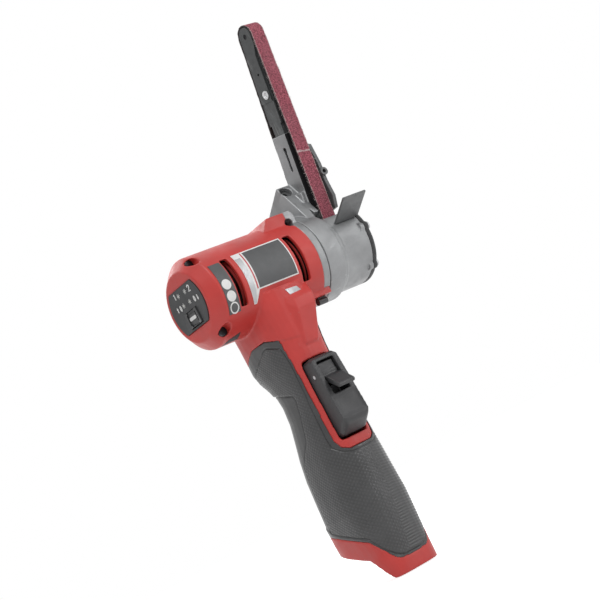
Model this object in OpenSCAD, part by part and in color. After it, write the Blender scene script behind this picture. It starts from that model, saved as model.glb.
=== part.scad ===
// Battery power file: narrow abrasive belt on a swinging arm, motor barrel across the top of a handle.
// Millimetres. X is the motor axis (belt side positive), Z runs up the handle, front with the paddle is -Y.
// The origin is the middle of the battery socket mouth.

/* [Barrel] */
// Outer radius of the motor barrel
barrel_r = 26.3; // [25:0.1:29]
// Distance from the handle middle plane to the flat end of the barrel
barrel_back = 44.4; // [42:0.2:50]
// Wall thickness of the moulded shells
shell_t = 2.5; // [2:0.1:3]
// Length of the bevel around the flat end
cap_bevel = 6; // [4:0.5:7]
// Width of the left cooling slot
slot_w = 4.8; // [3:0.2:6]
// Half height of the cooling slots
slot_h = 13.8; // [8:0.2:16]

/* [Handle] */
// Height of the motor axis above the socket mouth
handle_h = 165; // [158:1:180]
// Full width of the handle at the foot
foot_w = 41; // [38:0.5:46]
// Full width of the handle at the waist
waist_w = 31; // [30:0.5:36]
// Distance of the front face from the middle plane
front_d = 24; // [23:0.2:27]
// Distance of the back face at the foot from the middle plane
back_d = 26.6; // [24:0.2:30]
// Thickness of the soft grip cover
rubber_t = 2; // [1.6:0.1:2.6]

/* [Controls] */
// Width of the paddle
paddle_w = 18.6; // [16:0.2:20]
// Full travel of the paddle in degrees
paddle_deg = 7; // [4:1:8]
// Width of the lock lever tab
tab_w = 11; // [8:0.2:11.4]
// Half height of the mode panel
panel_h = 12.1; // [11:0.1:13]
// Radius of the rounded sides of the mode panel
panel_r = 17.5; // [16.5:0.1:18.5]
// Width of the mode button
button_w = 13; // [10:0.2:14]
// Free travel of the mode button
button_go = 0.8; // [0.4:0.1:1.2]

/* [Belt drive] */
// Distance between the two pulley axes
centre_d = 132.5; // [126:0.1:140]
// Lean of the arm towards the front in degrees
arm_lean = 12.2; // [5:0.1:20]
// Radius of the drive pulley
drive_r = 10; // [9:0.1:13]
// Radius of the tip pulley
tip_r = 5.5; // [5.2:0.1:6.2]
// Width of the abrasive belt
belt_w = 9.6; // [9.4:0.1:11]
// Thickness of the abrasive belt
belt_t = 0.9; // [0.6:0.1:1.4]
// Middle of the belt along the motor axis
belt_x = 59.4; // [59:0.1:62]
// Spring travel of the arm for changing the belt
slack_go = 6; // [3:0.5:8]

/* [Head casting] */
// Radius of the collar the arm swings on
collar_r = 20; // [19.4:0.1:21]
// Outer radius of the clamp ring
ring_r = 26; // [25:0.1:28]
// Outer radius of the pulley drum
drum_r = 23.7; // [23:0.1:25.5]
// Wall of the pulley drum
drum_t = 3.3; // [2.6:0.1:3.6]
// Height of the open drum lip above the axis
lip_z = 16.5; // [14:0.2:18]
// Length of the spark deflector outside the drum
flap_len = 19; // [12:0.5:24]

/* [Gears] */
// Room between the barrel surface and the ring gear, for the shell screws
gear_room = 7.74; // [7.2:0.01:8.4]
// Teeth on the motor pinion
sun_n = 15; // [15:3:15]
// Teeth on each planet gear
planet_n = 12; // [12:6:12]

/* [Clearances] */
// Radial gap of running fits
run_gap = 0.05; // [0.02:0.01:0.08]
// Gap between pieces that move past each other
free_gap = 0.4; // [0.35:0.05:0.6]

/* [Hidden] */
$fn = 64;
eps = 0.01;
red = [0.78, 0.12, 0.1];
black = [0.1, 0.1, 0.1];
grey = [0.55, 0.55, 0.56];
dark = [0.25, 0.26, 0.26];
steel = [0.75, 0.75, 0.76];

// Barrel values
bore_r = barrel_r - shell_t;
face_r = barrel_r - 6.3;
end_x = -barrel_back;
lip_x = 31;
stator_r = bore_r - 2.3;
shaft_r = 2.5;
bearing_r = 6.5;
board_r = face_r - 4.5;
rotor_r = stator_r - 9.5;
screw_xz = [[-38.6, barrel_r - 6.5, 0], [-38.6, 5.8 - barrel_r, 0], [lip_x - 0.6, barrel_r - 4.8, 0],
    [lip_x - 0.6, 5.7 - barrel_r, 1]];
ear_x1 = 35.4;
ear_z = 2.7 - barrel_r;
screw_r = 1.5;
head_r = 2.6;
boss_r = 3.7;

// Handle section values along the height: half width, front and back
hw_tab = [[-190, foot_w / 2 - 3.4], [-165, foot_w / 2 - 2.2], [-150, foot_w / 2 - 0.7], [-138, foot_w / 2],
    [-125, foot_w / 2 - 0.3], [-112, foot_w / 2 - 0.9],
    [-100, waist_w / 2 + 3.1], [-90, waist_w / 2 + 1.9], [-80, waist_w / 2 + 0.6], [-70, waist_w / 2],
    [-60, waist_w / 2 + 0.5], [-52, waist_w / 2 + 1.5], [-46, waist_w / 2 + 2], [-40, waist_w / 2 + 2.5],
    [-30, waist_w / 2 + 4], [-10, waist_w / 2 + 6]];
yf_tab = [[-190, 2.4 - front_d], [-165, 2 - front_d], [-150, 0.7 - front_d], [-138, -front_d],
    [-112, -front_d], [-90, 0.2 - front_d], [-60, 0.2 - front_d], [-46, -front_d - 0.2],
    [-34, -front_d - 1.2], [-10, -front_d - 2.8]];
yb_tab = [[-190, back_d - 2], [-165, back_d - 1.6], [-150, back_d - 0.3], [-138, back_d],
    [-125, back_d - 0.5], [-112, back_d - 1.2], [-100, back_d - 3.4],
    [-90, back_d - 6.4], [-80, back_d - 8.9], [-70, back_d - 9.6], [-64, back_d - 8.9], [-58, back_d - 5.9],
    [-52, back_d - 1.8], [-46, back_d + 0.2], [-40, back_d - 0.4], [-30, back_d - 2], [-10, back_d - 2.8]];
n_tab = [[-190, 4], [-165, 3.6], [-150, 3.1], [-125, 2.7], [-100, 2.6], [-10, 2.6]];
ring_zs = [-186, -165, -150, -138, -125, -112, -100, -90, -80, -70, -64, -58, -52, -46, -40, -30, -12];
socket_zs = [-186, -165, -150, -138, -125, -112, -104];
socket_top = -104;
NS = 36;
line_w = 0.6;
line_d = 0.7;
zone_d = 0.5;

// Belt loop values, in the arm frame
belt_x0 = belt_x - belt_w / 2;
belt_x1 = belt_x + belt_w / 2;
in_r1 = drive_r + 0.35;
in_r2 = tip_r + 0.35;
loop_a = asin((in_r1 - in_r2) / centre_d);

// Drive values
ring_n = sun_n + 2 * planet_n;
ring_out = barrel_r - gear_room;
gear_m = (ring_out - 2) / (ring_n / 2 + 1.2);
planet_c = gear_m * (sun_n + planet_n) / 2;
pin_r = 1.6;
spindle_r = 6;
spindle_seat_r = 13;

// Head values
clamp_a = 29.05;
ring_x0 = 36.2;
ring_x1 = 51.5;
flange_x1 = 48.2;
neck_r = drum_r + 0.3;
clamp_x = 47.3;
clamp_z = 33.9;
web_x1 = belt_x0 - free_gap;
drum_x1 = belt_x1 + 6.8;
gasket_t = 1.6;
cover_t = 1.2;
cover_x1 = drum_x1 + gasket_t + cover_t;
tongue_x0 = belt_x0 - 1;
tongue_x1 = belt_x1 + 1;
tongue_f = 5;
back_gap = 0.45;
tongue_w0 = in_r1 + belt_t + 3;
tongue_w1 = 0.551 * centre_d;
bar_x0 = belt_x0 + 0.4;
bar_x1 = belt_x1 - 0.4;
bar_f = tongue_f - 1.6;
bar_b = belt_y(tongue_w1) - back_gap - 1.8;
arm_f = 4.2;
cheek_f = 3.4;
cheek_w0 = 0.702 * centre_d;
cheek_r = in_r2 - back_gap;
arm_w0 = tongue_w1 + slack_go + 0.6;
platen_w0 = 0.36 * tongue_w1;
platen_w1 = 0.9057 * centre_d;
rivet = [-0.2, 0.735 * centre_d];
rivet_r = 1.4;
axle_r = 1.5;
stop_w = tongue_w1 - 10;
stop_r = 0.6;
spring_w0 = 0.3 * tongue_w1;
spring_w1 = 0.52 * tongue_w1;
bracket_ws = [0.41 * tongue_w1, 0.712 * tongue_w1];
bracket_pts = [[-0.282, 0.815], [-0.282, 0.644], [-0.26, 0.507], [-0.26, 0.37], [-0.219, 0.28],
    [-0.041, 0.28], [-0.082, 0.822], [-0.171, 0.884]] * tongue_w1;
boss_z = 0.575 * tongue_w1;
boss_y0 = -0.285 * tongue_w1;
boss_y1 = -0.21 * tongue_w1;
cover_ang = [8, -52, -128, -188];
cover_r = drum_r - drum_t / 2;
flap_ang = 27;
flap_t = 1.2;

// Control values
paddle_top = -54.5;
paddle_bot = -99.9;
pad_hinge = [-14.5, -51.8];
pad_back = -18.9;
lug_w = 8;
pad_pin_r = 1;
room_w = 18;
plunger_z = -84;
plunger_y = pad_hinge[0] + (pad_back - pad_hinge[0]) * cos(paddle_deg)
    + (pad_hinge[1] - plunger_z) * sin(paddle_deg) + 0.35;
lock_hinge = [-24.5, -64.5];
pocket_w = tab_w + 0.8;
pocket_z0 = -57.6;
pocket_z1 = -77;
pocket_y = -20.8;
leg_z0 = -62.3;
leg_z1 = -71;
button_yz = [-1.2, -6.4];
button_h = 8.6;
key_x = -39.9;
panel_x0 = end_x - 0.3;
panel_x1 = end_x + 1.2;
led_yz = [[3.6, 8.5], [-4.3, 8.4], [2.9, 2.4], [-4.4, 2.2]];

// Distance of the belt inside from the arm middle line at height w
function belt_y(w) = in_r1 / cos(loop_a) - w * tan(loop_a);

// Frame helpers
module place() translate([0, 0, handle_h]) children();
module arm() rotate([arm_lean, 0, 0]) children();
module clamp() rotate([-clamp_a, 0, 0]) children();
module xcyl(x0, x1, r) translate([x0, 0, 0]) rotate([0, 90, 0]) cylinder(h = x1 - x0, r = r);
module xpin(x0, x1, y, z, r) translate([x0, y, z]) rotate([0, 90, 0]) cylinder(h = x1 - x0, r = r);
module ypin(x, z, y0, y1, r) translate([x, y0, z]) rotate([-90, 0, 0]) cylinder(h = y1 - y0, r = r);
module yz(x0, x1) translate([x0, 0, 0]) rotate([90, 0, 90]) linear_extrude(height = x1 - x0) children();
module xz(y0, y1) translate([0, y1, 0]) rotate([90, 0, 0]) linear_extrude(height = y1 - y0) children();
module box(x0, x1, y0, y1, z0, z1) translate([x0, y0, z0]) cube([x1 - x0, y1 - y0, z1 - z0]);
module front_half() box(-200, 200, -200, 0, -300, 300);
module rear_half() box(-200, 200, 0, 200, -300, 300);

// Rounded handle section at one height, drawn in by d
function spow(a, p) = sign(a) * pow(abs(a), p);
function handle_ring(z, d) = let (hw = lookup(z, hw_tab) - d, yf = lookup(z, yf_tab) + d,
    yb = lookup(z, yb_tab) - d, p = 2 / lookup(z, n_tab))
    [for (i = [0 : NS - 1]) let (t = 360 * (i + 0.5) / NS)
        [hw * spow(cos(t), p), (yf + yb) / 2 + (yb - yf) / 2 * spow(sin(t), p), z]];

// Handle body through a list of heights, lowest first
module handle(d, zs) {
    n = len(zs);
    pts = [for (z = zs) each handle_ring(z, d)];
    sides = [for (k = [0 : n - 2]) for (i = [0 : NS - 1]) let (j = (i + 1) % NS)
        each [[k * NS + i, (k + 1) * NS + i, (k + 1) * NS + j], [k * NS + i, (k + 1) * NS + j, k * NS + j]]];
    low = [for (i = [0 : NS - 1]) i];
    high = [for (i = [NS - 1 : -1 : 0]) (n - 1) * NS + i];
    polyhedron(points = pts, faces = concat(sides, [low], [high]), convexity = 6);
}

// Areas of the handle that stay hard plastic
module top_area() yz(-60, 60)
    polygon([[-50, -43], [-25, -40.5], [-10, -34.4], [3, -34.6], [14, -38.5], [40, -47.5], [40, 60],
        [-50, 60]]);
module foot_area() yz(-60, 60)
    polygon([[40, -139], [15.9, -145], [9.3, -146.8], [1.2, -149.8], [-6.5, -152.7], [-12.7, -155.4],
        [-15.6, -159.2], [-18.1, -163.2], [-20.8, -169.6], [-22.4, -171], [-50, -172], [-50, -260],
        [40, -260]]);
module foot_cut() yz(-60, 60)
    polygon([[40, -149.4], [14.7, -157.8], [1.8, -162.2], [-6, -164.8], [-8.4, -167.6], [-14.6, -176.1],
        [-16.8, -178.4], [-50, -179], [-50, -260], [40, -260]]);
module bezel_area() xz(-60, -6)
    polygon([[15.5, -20], [12.8, -52], [12.2, -72], [12.8, -90], [13, -99], [11.4, -104], [7.6, -106.4],
        [-7.6, -106.4], [-11.4, -104], [-13, -99], [-12.8, -90], [-12.2, -72], [-12.8, -52], [-15.5, -20]]);

// Outside of the barrel
module barrel_out() {
    xcyl(end_x + cap_bevel, lip_x, barrel_r);
    translate([end_x, 0, 0]) rotate([0, 90, 0]) cylinder(h = cap_bevel, r1 = face_r, r2 = barrel_r);
}

// Raised ears beside the head, with the shell screws in them
module ears() {
    xz(-16, 16) polygon([[11, 20], [17.5, barrel_r + 2], [29.5, barrel_r + 2], [29.5, 16], [11, 16]]);
}

// Ear at the lower side that reaches over the gear case
module low_ear() difference() {
    xz(-16, 16) polygon([[13, ear_z + 6.6], [20, ear_z], [ear_x1, ear_z], [ear_x1, ear_z + 8.6],
        [13, ear_z + 8.6]]);
    xcyl(10, lip_x, bore_r);
    xcyl(lip_x - 0.1, ear_x1 + 1, ring_out + 2.2);
}

// Shoulder block where the handle meets the barrel at the front
saddle_pts = [[-9, -22, -13.6], [17, -22, -13.6], [-9, -12, -13.6], [17, -12, -13.6], [0, -28, -21],
    [14, -28, -21], [-0.4, -28.7, -26.8], [12.3, -28.7, -26.4], [-3, -24.2, -46], [6, -24.2, -46],
    [-14, -17, -20], [-13, -12, -44], [19, -12, -16], [17, -12, -40]];
module saddle() translate([0, 24 - front_d, 0]) hull()
    for (p = saddle_pts) translate(p) cube(0.1, center = true);

// Both shells in one, before the split
module shell_body() {
    difference() {
        union() {
            barrel_out();
            handle(rubber_t, ring_zs);
            intersection() {
                handle(0, ring_zs);
                union() {
                    top_area();
                    foot_area();
                }
            }
            intersection() {
                handle(0.5, ring_zs);
                bezel_area();
            }
            ears();
            intersection() {
                saddle();
                union() {
                    top_area();
                    bezel_area();
                }
            }
        }
        foot_cut();
        // Motor bore with two seats for the stator
        xcyl(-31, lip_x + 1, stator_r);
        xcyl(-31, -17.5, bore_r);
        xcyl(-13.5, 5.5, bore_r);
        xcyl(9.5, lip_x + 1, bore_r);
        // Rear bearing seat and the room behind the panel
        xcyl(-36, -30, bearing_r);
        xcyl(end_x + 3.4, -37.6, face_r - 1.5);
        // Room for the switch and the wires
        box(-room_w / 2, room_w / 2, -19.5, min(9.5, back_d - 14), -102, -18);
        // Battery socket
        handle(rubber_t + 2.6, socket_zs);
        box(-5, 5, -6, 6, -106, -100);
        // Cooling slots on both sides
        box(-28.2, -28.2 + slot_w, -40, 40, -slot_h, slot_h);
        box(16, 16 + slot_w + 0.6, -40, 40, -slot_h, slot_h);
        // Panel seat with the button hole
        yz(end_x - 1, panel_x1) panel_outline();
        yz(end_x, -37) button_hole();
    }
    // Columns the shell screws bite in
    intersection() {
        barrel_out();
        union() for (i = [0, 1]) ypin(screw_xz[i][0], screw_xz[i][1], -40, 40, boss_r);
    }
    low_ear();
}

// Screw holes, the last screw with its head at the back
module shell_holes() {
    for (p = screw_xz) mirror([0, p[2], 0]) {
        ypin(p[0], p[1], -40, 12, screw_r);
        ypin(p[0], p[1], -40, -9, head_r);
    }
}

// Way through the front for the paddle
module paddle_way()
    box(-paddle_w / 2 - free_gap, paddle_w / 2 + free_gap, -60, -13, paddle_bot - 1, paddle_top + 0.6);

module button_hole() translate(button_yz)
    square([button_w + 2 * free_gap, button_h + 2 * free_gap], center = true);
module panel_outline() intersection() {
    circle(r = panel_r);
    square([2 * panel_r + 1, 2 * panel_h], center = true);
}

module front_housing() color(red) difference() {
    union() {
        intersection() {
            shell_body();
            front_half();
        }
        // Hinge blocks of the paddle
        for (s = [0, 1]) mirror([s, 0, 0])
            box(lug_w / 2 + free_gap, room_w / 2 + 0.1, -19.6, pad_hinge[0] + 3, pad_hinge[1] - 2.1,
                pad_hinge[1] + 2.6);
    }
    paddle_way();
    shell_holes();
    xpin(-room_w / 2, room_w / 2, pad_hinge[0], pad_hinge[1], pad_pin_r);
}

module rear_housing() color(red) difference() {
    union() {
        intersection() {
            shell_body();
            rear_half();
        }
        // Rib behind the switch
        box(-6, 6, 8, back_d - 14, -98, -68);
    }
    shell_holes();
}

// Lines of the soft sleeve seen from the side: the textured field, and the smooth zone at the back
back_pts = [[6.9, -63.1], [-7.3, -67.6], [-8, -70.5], [-2.6, -91.4], [-1, -93.6], [10.1, -104],
    [12.8, -127.6], [13.1, -139.8], [14, -141.6]];
field_pts = concat([[50, -58], [14, -46.6], [6.4, -43.6], [-6.3, -38.2], [-9, -38], [-16.4, -41.9],
    [-16.9, -51.8], [-16.4, -60], [-15.6, -76.8], [-16.5, -96.6], [-17.3, -101.9], [-20.8, -106.2],
    [-23, -108.2], [-26, -109.6], [-50, -109.6], [-50, -169.6], [-21.4, -169], [-19.6, -164.6],
    [-13.8, -154.1], [-11.6, -152.4], [13, -143]], [for (i = [8 : -1 : 0]) back_pts[i]], [[50, -58.4]]);
module line2d() difference() {
    polygon(field_pts);
    offset(delta = -line_w) polygon(field_pts);
}

// Soft sleeve around the handle
module grip_sleeve() color(black) difference() {
    handle(0, ring_zs);
    handle(rubber_t, ring_zs);
    top_area();
    foot_area();
    bezel_area();
    difference() {
        yz(-40, 40) line2d();
        handle(line_d, ring_zs);
    }
    difference() {
        yz(-40, 40) polygon(concat(back_pts, [[50, -128], [50, -58.4]]));
        handle(zone_d, ring_zs);
    }
}

module housing_screws() color(steel) for (p = screw_xz) mirror([0, p[2], 0]) {
    ypin(p[0], p[1], -9 - 2, -9, head_r - 0.1);
    ypin(p[0], p[1], -9 - eps, 11.5, screw_r);
}

// Control panel on the barrel end
module mode_panel() color(black) difference() {
    yz(panel_x0, panel_x1) panel_outline();
    yz(end_x - 2, -40) button_hole();
    for (p = led_yz) xpin(end_x - 2, -40, p[0], p[1], 0.8);
}
module mode_button() color(dark) difference() {
    yz(end_x - 0.4 - button_go, key_x - 0.3 - button_go) translate(button_yz)
        square([button_w, button_h], center = true);
    for (s = [-1, 1]) translate([end_x - button_go - 1, button_yz[0] + s * (button_w / 2 - 2), button_yz[1]])
        cube([2, 0.8, 6], center = true);
}
module mode_leds() color([0.9, 0.9, 0.85]) for (p = led_yz) xpin(panel_x0 - 0.1, panel_x1, p[0], p[1], 0.8);
module control_board() color([0.1, 0.35, 0.2]) {
    xcyl(-39.2, -37.6, board_r);
    box(key_x, -39.2, button_yz[0] - 2, button_yz[0] + 2, button_yz[1] - 2, button_yz[1] + 2);
}

// Motor
module stator() color([0.5, 0.35, 0.25]) difference() {
    xcyl(-17, 9, stator_r);
    xcyl(-18, 10, rotor_r + 0.5);
    for (a = [0 : 60 : 300]) rotate([a, 0, 0]) box(-18, 10, -2.2, 2.2, rotor_r + 2, stator_r - 3);
}
module rotor() color(steel) {
    xcyl(-35.5, 34.4, shaft_r);
    xcyl(-17, 9, rotor_r);
}
module fan() color(black) difference() {
    union() {
        xcyl(12.4, 20.4, 4.6);
        xcyl(19, 20.4, bore_r - 4.5);
        for (a = [0 : 40 : 320]) rotate([a, 0, 0]) box(13, 19.2, -0.6, 0.6, 4, bore_r - 5);
    }
    xcyl(12, 21, shaft_r);
}
module rear_bearing() color(steel) difference() {
    xcyl(-36, -31, bearing_r);
    xcyl(-37, -30, shaft_r + run_gap);
}
module front_bearing() color(steel) difference() {
    xcyl(22.4, 27.4, bearing_r);
    xcyl(22, 28, shaft_r + run_gap);
}
module motor_plate() color(grey) difference() {
    xcyl(22.4, 27.8, bore_r);
    xcyl(22, 27.4, bearing_r);
    xcyl(22, 30, 4.2);
}

// Reduction gears
function inv(a) = tan(a) * 180 / PI - a;
function flank(r, rb) = inv(acos(min(1, rb / r)));
module gear2d(n, add, ded, thin) {
    rp = gear_m * n / 2;
    rb = rp * cos(25);
    ra = rp + add * gear_m;
    rd = rp - ded * gear_m;
    rs = max(rb, rd);
    half = 90 / n - thin / rp * 90 / PI + inv(25);
    rs_list = [rs, rs + (ra - rs) * 0.35, rs + (ra - rs) * 0.7, ra];
    polygon([for (k = [0 : n - 1]) let (c = 360 * k / n) each concat(
        [[rd * cos(c - half), rd * sin(c - half)]],
        [for (r = rs_list) let (h = half - flank(r, rb)) [r * cos(c - h), r * sin(c - h)]],
        [for (i = [3 : -1 : 0]) let (r = rs_list[i], h = half - flank(r, rb))
            [r * cos(c + h), r * sin(c + h)]],
        [[rd * cos(c + half), rd * sin(c + half)]])]);
}
module ring_gear() color(steel) yz(28.2, 34.6) difference() {
    circle(r = ring_out);
    rotate(90 + 180 / ring_n) gear2d(ring_n, 1.15, 0.8, -0.1);
}
module sun_pinion() color(steel) yz(28.2, 34.4) difference() {
    rotate(90) gear2d(sun_n, 0.8, 1.1, 0.08);
    circle(r = shaft_r);
}
module planet(a) yz(28.5, 34.3) rotate(a) translate([planet_c, 0]) difference() {
    rotate(180 / planet_n) gear2d(planet_n, 0.8, 1.1, 0.08);
    circle(r = pin_r + run_gap);
}
module planet_gear_a() color(steel) planet(90);
module planet_gear_b() color(steel) planet(210);
module planet_gear_c() color(steel) planet(330);
module carrier() color(steel) difference() {
    union() {
        xcyl(36.4, 39.6, planet_c + 3.4);
        xcyl(39.6, belt_x1 - 0.4, spindle_r);
        for (a = [90, 210, 330]) xpin(28.2, 36.5, planet_c * cos(a), planet_c * sin(a), pin_r);
    }
    xcyl(belt_x1 - 12, belt_x1 + 1, 2);
}
module spindle_bearing() color(steel) difference() {
    xcyl(42.6, 50.4, spindle_seat_r);
    xcyl(42, 51, spindle_r + run_gap);
}
module gear_case() color(grey) difference() {
    union() {
        xcyl(27.8, lip_x, bore_r);
        xcyl(lip_x, 35.8, ring_r);
        xcyl(35.8, 51, collar_r);
        // Ears that carry on from the shells
        xz(-16, 16) polygon([[29.5, barrel_r - 8], [29.5, barrel_r + 2], [34, barrel_r + 2], [35.6, barrel_r],
            [35.6, barrel_r - 8]]);
    }
    difference() {
        barrel_out();
        xcyl(20, 40, bore_r);
    }
    low_ear();
    xcyl(27, 34.6, ring_out);
    xcyl(34.5, 41.4, ring_out - 2.2);
    xcyl(41, 50.4, spindle_seat_r);
    xcyl(50, 52, spindle_r + 2);
    shell_holes();
}

// Small lamp under the lower ear, facing the belt
module work_lamp() color(dark) difference() {
    union() {
        xpin(26, 32.4, -11.5, ear_z - 2.4, 1.9);
        xpin(32.3, 33.4, -11.5, ear_z - 2.4, 1.4);
        box(26.6, 32, -12.6, -10.4, ear_z - 2.4, ear_z);
    }
    xcyl(20, ear_x1, barrel_r);
}

// Drive pulley on the spindle
module drive_pulley() color(black) difference() {
    xcyl(belt_x0 + 0.2, belt_x1 - 0.4, drive_r);
    xcyl(belt_x0 - 1, belt_x1 + 1, spindle_r);
}
module pulley_screw() color(steel) difference() {
    union() {
        xcyl(belt_x1 - 0.4, belt_x1 + 2.4, 7);
        xcyl(belt_x1 - 12, belt_x1 - 0.3, 2);
    }
    translate([belt_x1 + 0.8, 0, 0]) rotate([0, 90, 0]) cylinder(h = 4, r = 2, $fn = 6);
}

// Outline of the drum, flat at the lip, and of its rim with the screw bosses
module drum_outline() intersection() {
    circle(r = drum_r);
    translate([-drum_r - 1, -drum_r - 1]) square([2 * drum_r + 2, drum_r + 1 + lip_z]);
}
module rim_outline() {
    drum_outline();
    for (a = cover_ang) translate([-cover_r * cos(a), cover_r * sin(a)]) circle(r = 3);
}
module cover_holes(r) for (a = cover_ang)
    xpin(drum_x1 - 7, drum_x1 + 6, -cover_r * cos(a), cover_r * sin(a), r);

// Side view of a piece that fills the loop between two heights up to the back run
module loop_side(f, w0, w1)
    polygon([[-f, w0], [-f, w1], [belt_y(w1) - back_gap, w1], [belt_y(w0) - back_gap, w0]]);
module tongue(x0, x1) yz(x0, x1) loop_side(tongue_f, tongue_w0, tongue_w1);

// Spark deflector plate where it sits in the drum wall
module flap() rotate([-flap_ang, 0, 0]) children();
module flap_root() flap() box(belt_x0 + 0.6, drum_x1 - 1, -drum_r - 1, 2.4 - drum_r, -flap_t / 2, flap_t / 2);

// Head casting: clamp ring, drum, clamp block and the tongue that carries the arm
module arm_casting() color(grey) {
    difference() {
        union() {
            xcyl(ring_x0, flange_x1, ring_r);
            xcyl(ring_x0, ring_x1, neck_r);
            yz(ring_x1 - 1, drum_x1) drum_outline();
            yz(drum_x1 - 3, drum_x1) rim_outline();
            clamp() xz(-24.4, 9)
                polygon([[43.3, 4], [flange_x1 - 0.8, 4], [51.2, 22], [51.2, 38.5], [43.3, 38.5]]);
            clamp() box(38.5, 51.2, 2, 9, 16, 38.5);
            intersection() {
                clamp() box(ring_x1 - 1, web_x1 - 0.3, -24.4, 9, 12, 38.5);
                arm() box(50, 60, -14, 10, 0, 60);
            }
            arm() box(ring_x1 - 1, web_x1 - 0.3, 0.5 - tongue_f, bar_b, 8, 38);
        }
        // Seat on the collar and the split of the clamp
        xcyl(ring_x0 - 1, ring_x1 - 0.2, collar_r + run_gap);
        clamp() box(ring_x0 - 1, ring_x1 - 0.2, -0.8, 0.8, collar_r - 2, 50);
        clamp() translate([clamp_x, 0, clamp_z]) {
            rotate([90, 0, 0]) cylinder(h = 30, r = 2.1);
            rotate([-90, 0, 0]) cylinder(h = 7.5, r = 2);
            translate([0, -18, 0]) rotate([90, 0, 0]) cylinder(h = 12, r = 3.7);
        }
        // Room for the pulley and the way in for the belt
        xcyl(web_x1, drum_x1 + 1, drum_r - drum_t);
        xcyl(ring_x1 - 1, web_x1 + 1, spindle_r + 2);
        box(web_x1, drum_x1 + 1, 2 - lip_z, lip_z - 0.5, 4, 100);
        cover_holes(1.2);
        flap_root();
    }
    // Tongue with the channel of the arm, the keyhole of the stop pin and the bracket's screw holes
    arm() difference() {
        tongue(tongue_x0, tongue_x1);
        box(bar_x0 - run_gap, bar_x1 + run_gap, -bar_f - run_gap, bar_b + run_gap, spring_w0, tongue_w1 + 1);
        xpin(tongue_x0 - 1, bar_x0 + 1, 0, stop_w + 1, 1.5);
        box(tongue_x0 - 1, bar_x0 + 1, -stop_r - 0.35, stop_r + 0.35, stop_w - slack_go - 6, stop_w + 1);
        for (w = bracket_ws) xpin(bar_x1, tongue_x1 + 1, 0, w, 1.1);
    }
}
module clamp_screw() color(steel) clamp() translate([clamp_x, 0, clamp_z]) difference() {
    union() {
        translate([0, -18, 0]) rotate([90, 0, 0]) cylinder(h = 3.6, r = 3.4);
        translate([0, 7, 0]) rotate([90, 0, 0]) cylinder(h = 25 + eps, r = 2);
    }
    translate([0, -19.6, 0]) rotate([90, 0, 0]) cylinder(h = 4, r = 1.7, $fn = 6);
}
module cover_gasket() color(black) difference() {
    yz(drum_x1, drum_x1 + gasket_t) rim_outline();
    xcyl(drum_x1 - 1, drum_x1 + 3, drum_r - drum_t - 0.6);
    box(drum_x1 - 1, drum_x1 + 3, 2 - lip_z, lip_z - 0.5, 4, 40);
    cover_holes(1.2);
}
module drum_cover() color(dark) difference() {
    yz(drum_x1 + gasket_t, cover_x1) rim_outline();
    cover_holes(1.2);
}
module cover_screws() color(steel) for (a = cover_ang) {
    xpin(drum_x1 - 7, cover_x1 + eps, -cover_r * cos(a), cover_r * sin(a), 1.2);
    xpin(cover_x1, cover_x1 + 1.6, -cover_r * cos(a), cover_r * sin(a), 2.3);
}
module deflector() color(dark) {
    flap_root();
    flap() box(belt_x0 + 0.6, drum_x1 + 1.5, -drum_r - flap_len, -drum_r - 0.5, -flap_t / 2, flap_t / 2);
}
module side_bracket() color(dark) difference() {
    union() {
        yz(tongue_x1, tongue_x1 + 2.2) polygon(bracket_pts);
        ypin(tongue_x1 + 1.6, boss_z, boss_y0, boss_y1, 2.4);
    }
    ypin(tongue_x1 + 1.6, boss_z, boss_y0 - 1, boss_y1 - 1, 1.2);
    arm() for (w = bracket_ws) xpin(bar_x1, tongue_x1 + 4, 0, w, 1.1);
}
module bracket_screws() color(steel) arm() for (w = bracket_ws) {
    xpin(bar_x1 + 0.2, tongue_x1 + 2.3, 0, w, 1.1);
    xpin(tongue_x1 + 2.2, tongue_x1 + 3.8, 0, w, 2.2);
}

// Sprung arm inside the belt
module arm_bar() color(dark) arm() difference() {
    union() {
        box(bar_x0, bar_x1, -bar_f, bar_b, spring_w1, arm_w0 + 1);
        yz(bar_x0, bar_x1) loop_side(arm_f, arm_w0, cheek_w0);
        yz(bar_x0 + 1, bar_x1 - 1) loop_side(arm_f, cheek_w0 - 1, centre_d - tip_r - 1.2);
    }
    xpin(bar_x0 - 1, bar_x1 + 1, rivet[0], rivet[1], rivet_r);
    xpin(bar_x0 - 1, bar_x0 + 3, 0, stop_w, stop_r);
}
module stop_pin() color(steel) arm() xpin(tongue_x0 + 0.3, bar_x0 + 3, 0, stop_w, stop_r);
module cheek(x0, x1) difference() {
    arm() union() {
        yz(x0, x1) polygon([[-cheek_f, cheek_w0], [-cheek_f, centre_d - 12], [-cheek_r, centre_d - 6],
            [-cheek_r, centre_d], [cheek_r, centre_d], [belt_y(cheek_w0) - back_gap, cheek_w0]]);
        xpin(x0, x1, 0, centre_d, cheek_r);
    }
    arm() xpin(x0 - 1, x1 + 1, rivet[0], rivet[1], rivet_r);
    arm() xpin(x0 - 1, x1 + 1, 0.4, 0.828 * centre_d, 0.8);
    arm() xpin(x0 - 1, x1 + 1, 0, centre_d, axle_r);
}
module near_cheek() color(dark) cheek(belt_x0, bar_x0 + 1);
module far_cheek() color(dark) cheek(bar_x1 - 1, belt_x1);
module cheek_screws() color(steel) arm() {
    xpin(belt_x0 - eps, belt_x1 + eps, rivet[0], rivet[1], rivet_r);
    for (x = [belt_x0 - 0.7, belt_x1]) xpin(x, x + 0.7, rivet[0], rivet[1], 2.6);
}
module tip_axle() color(steel) arm() xpin(belt_x0 + 0.3, belt_x1 - 0.3, 0, centre_d, axle_r);
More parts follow.
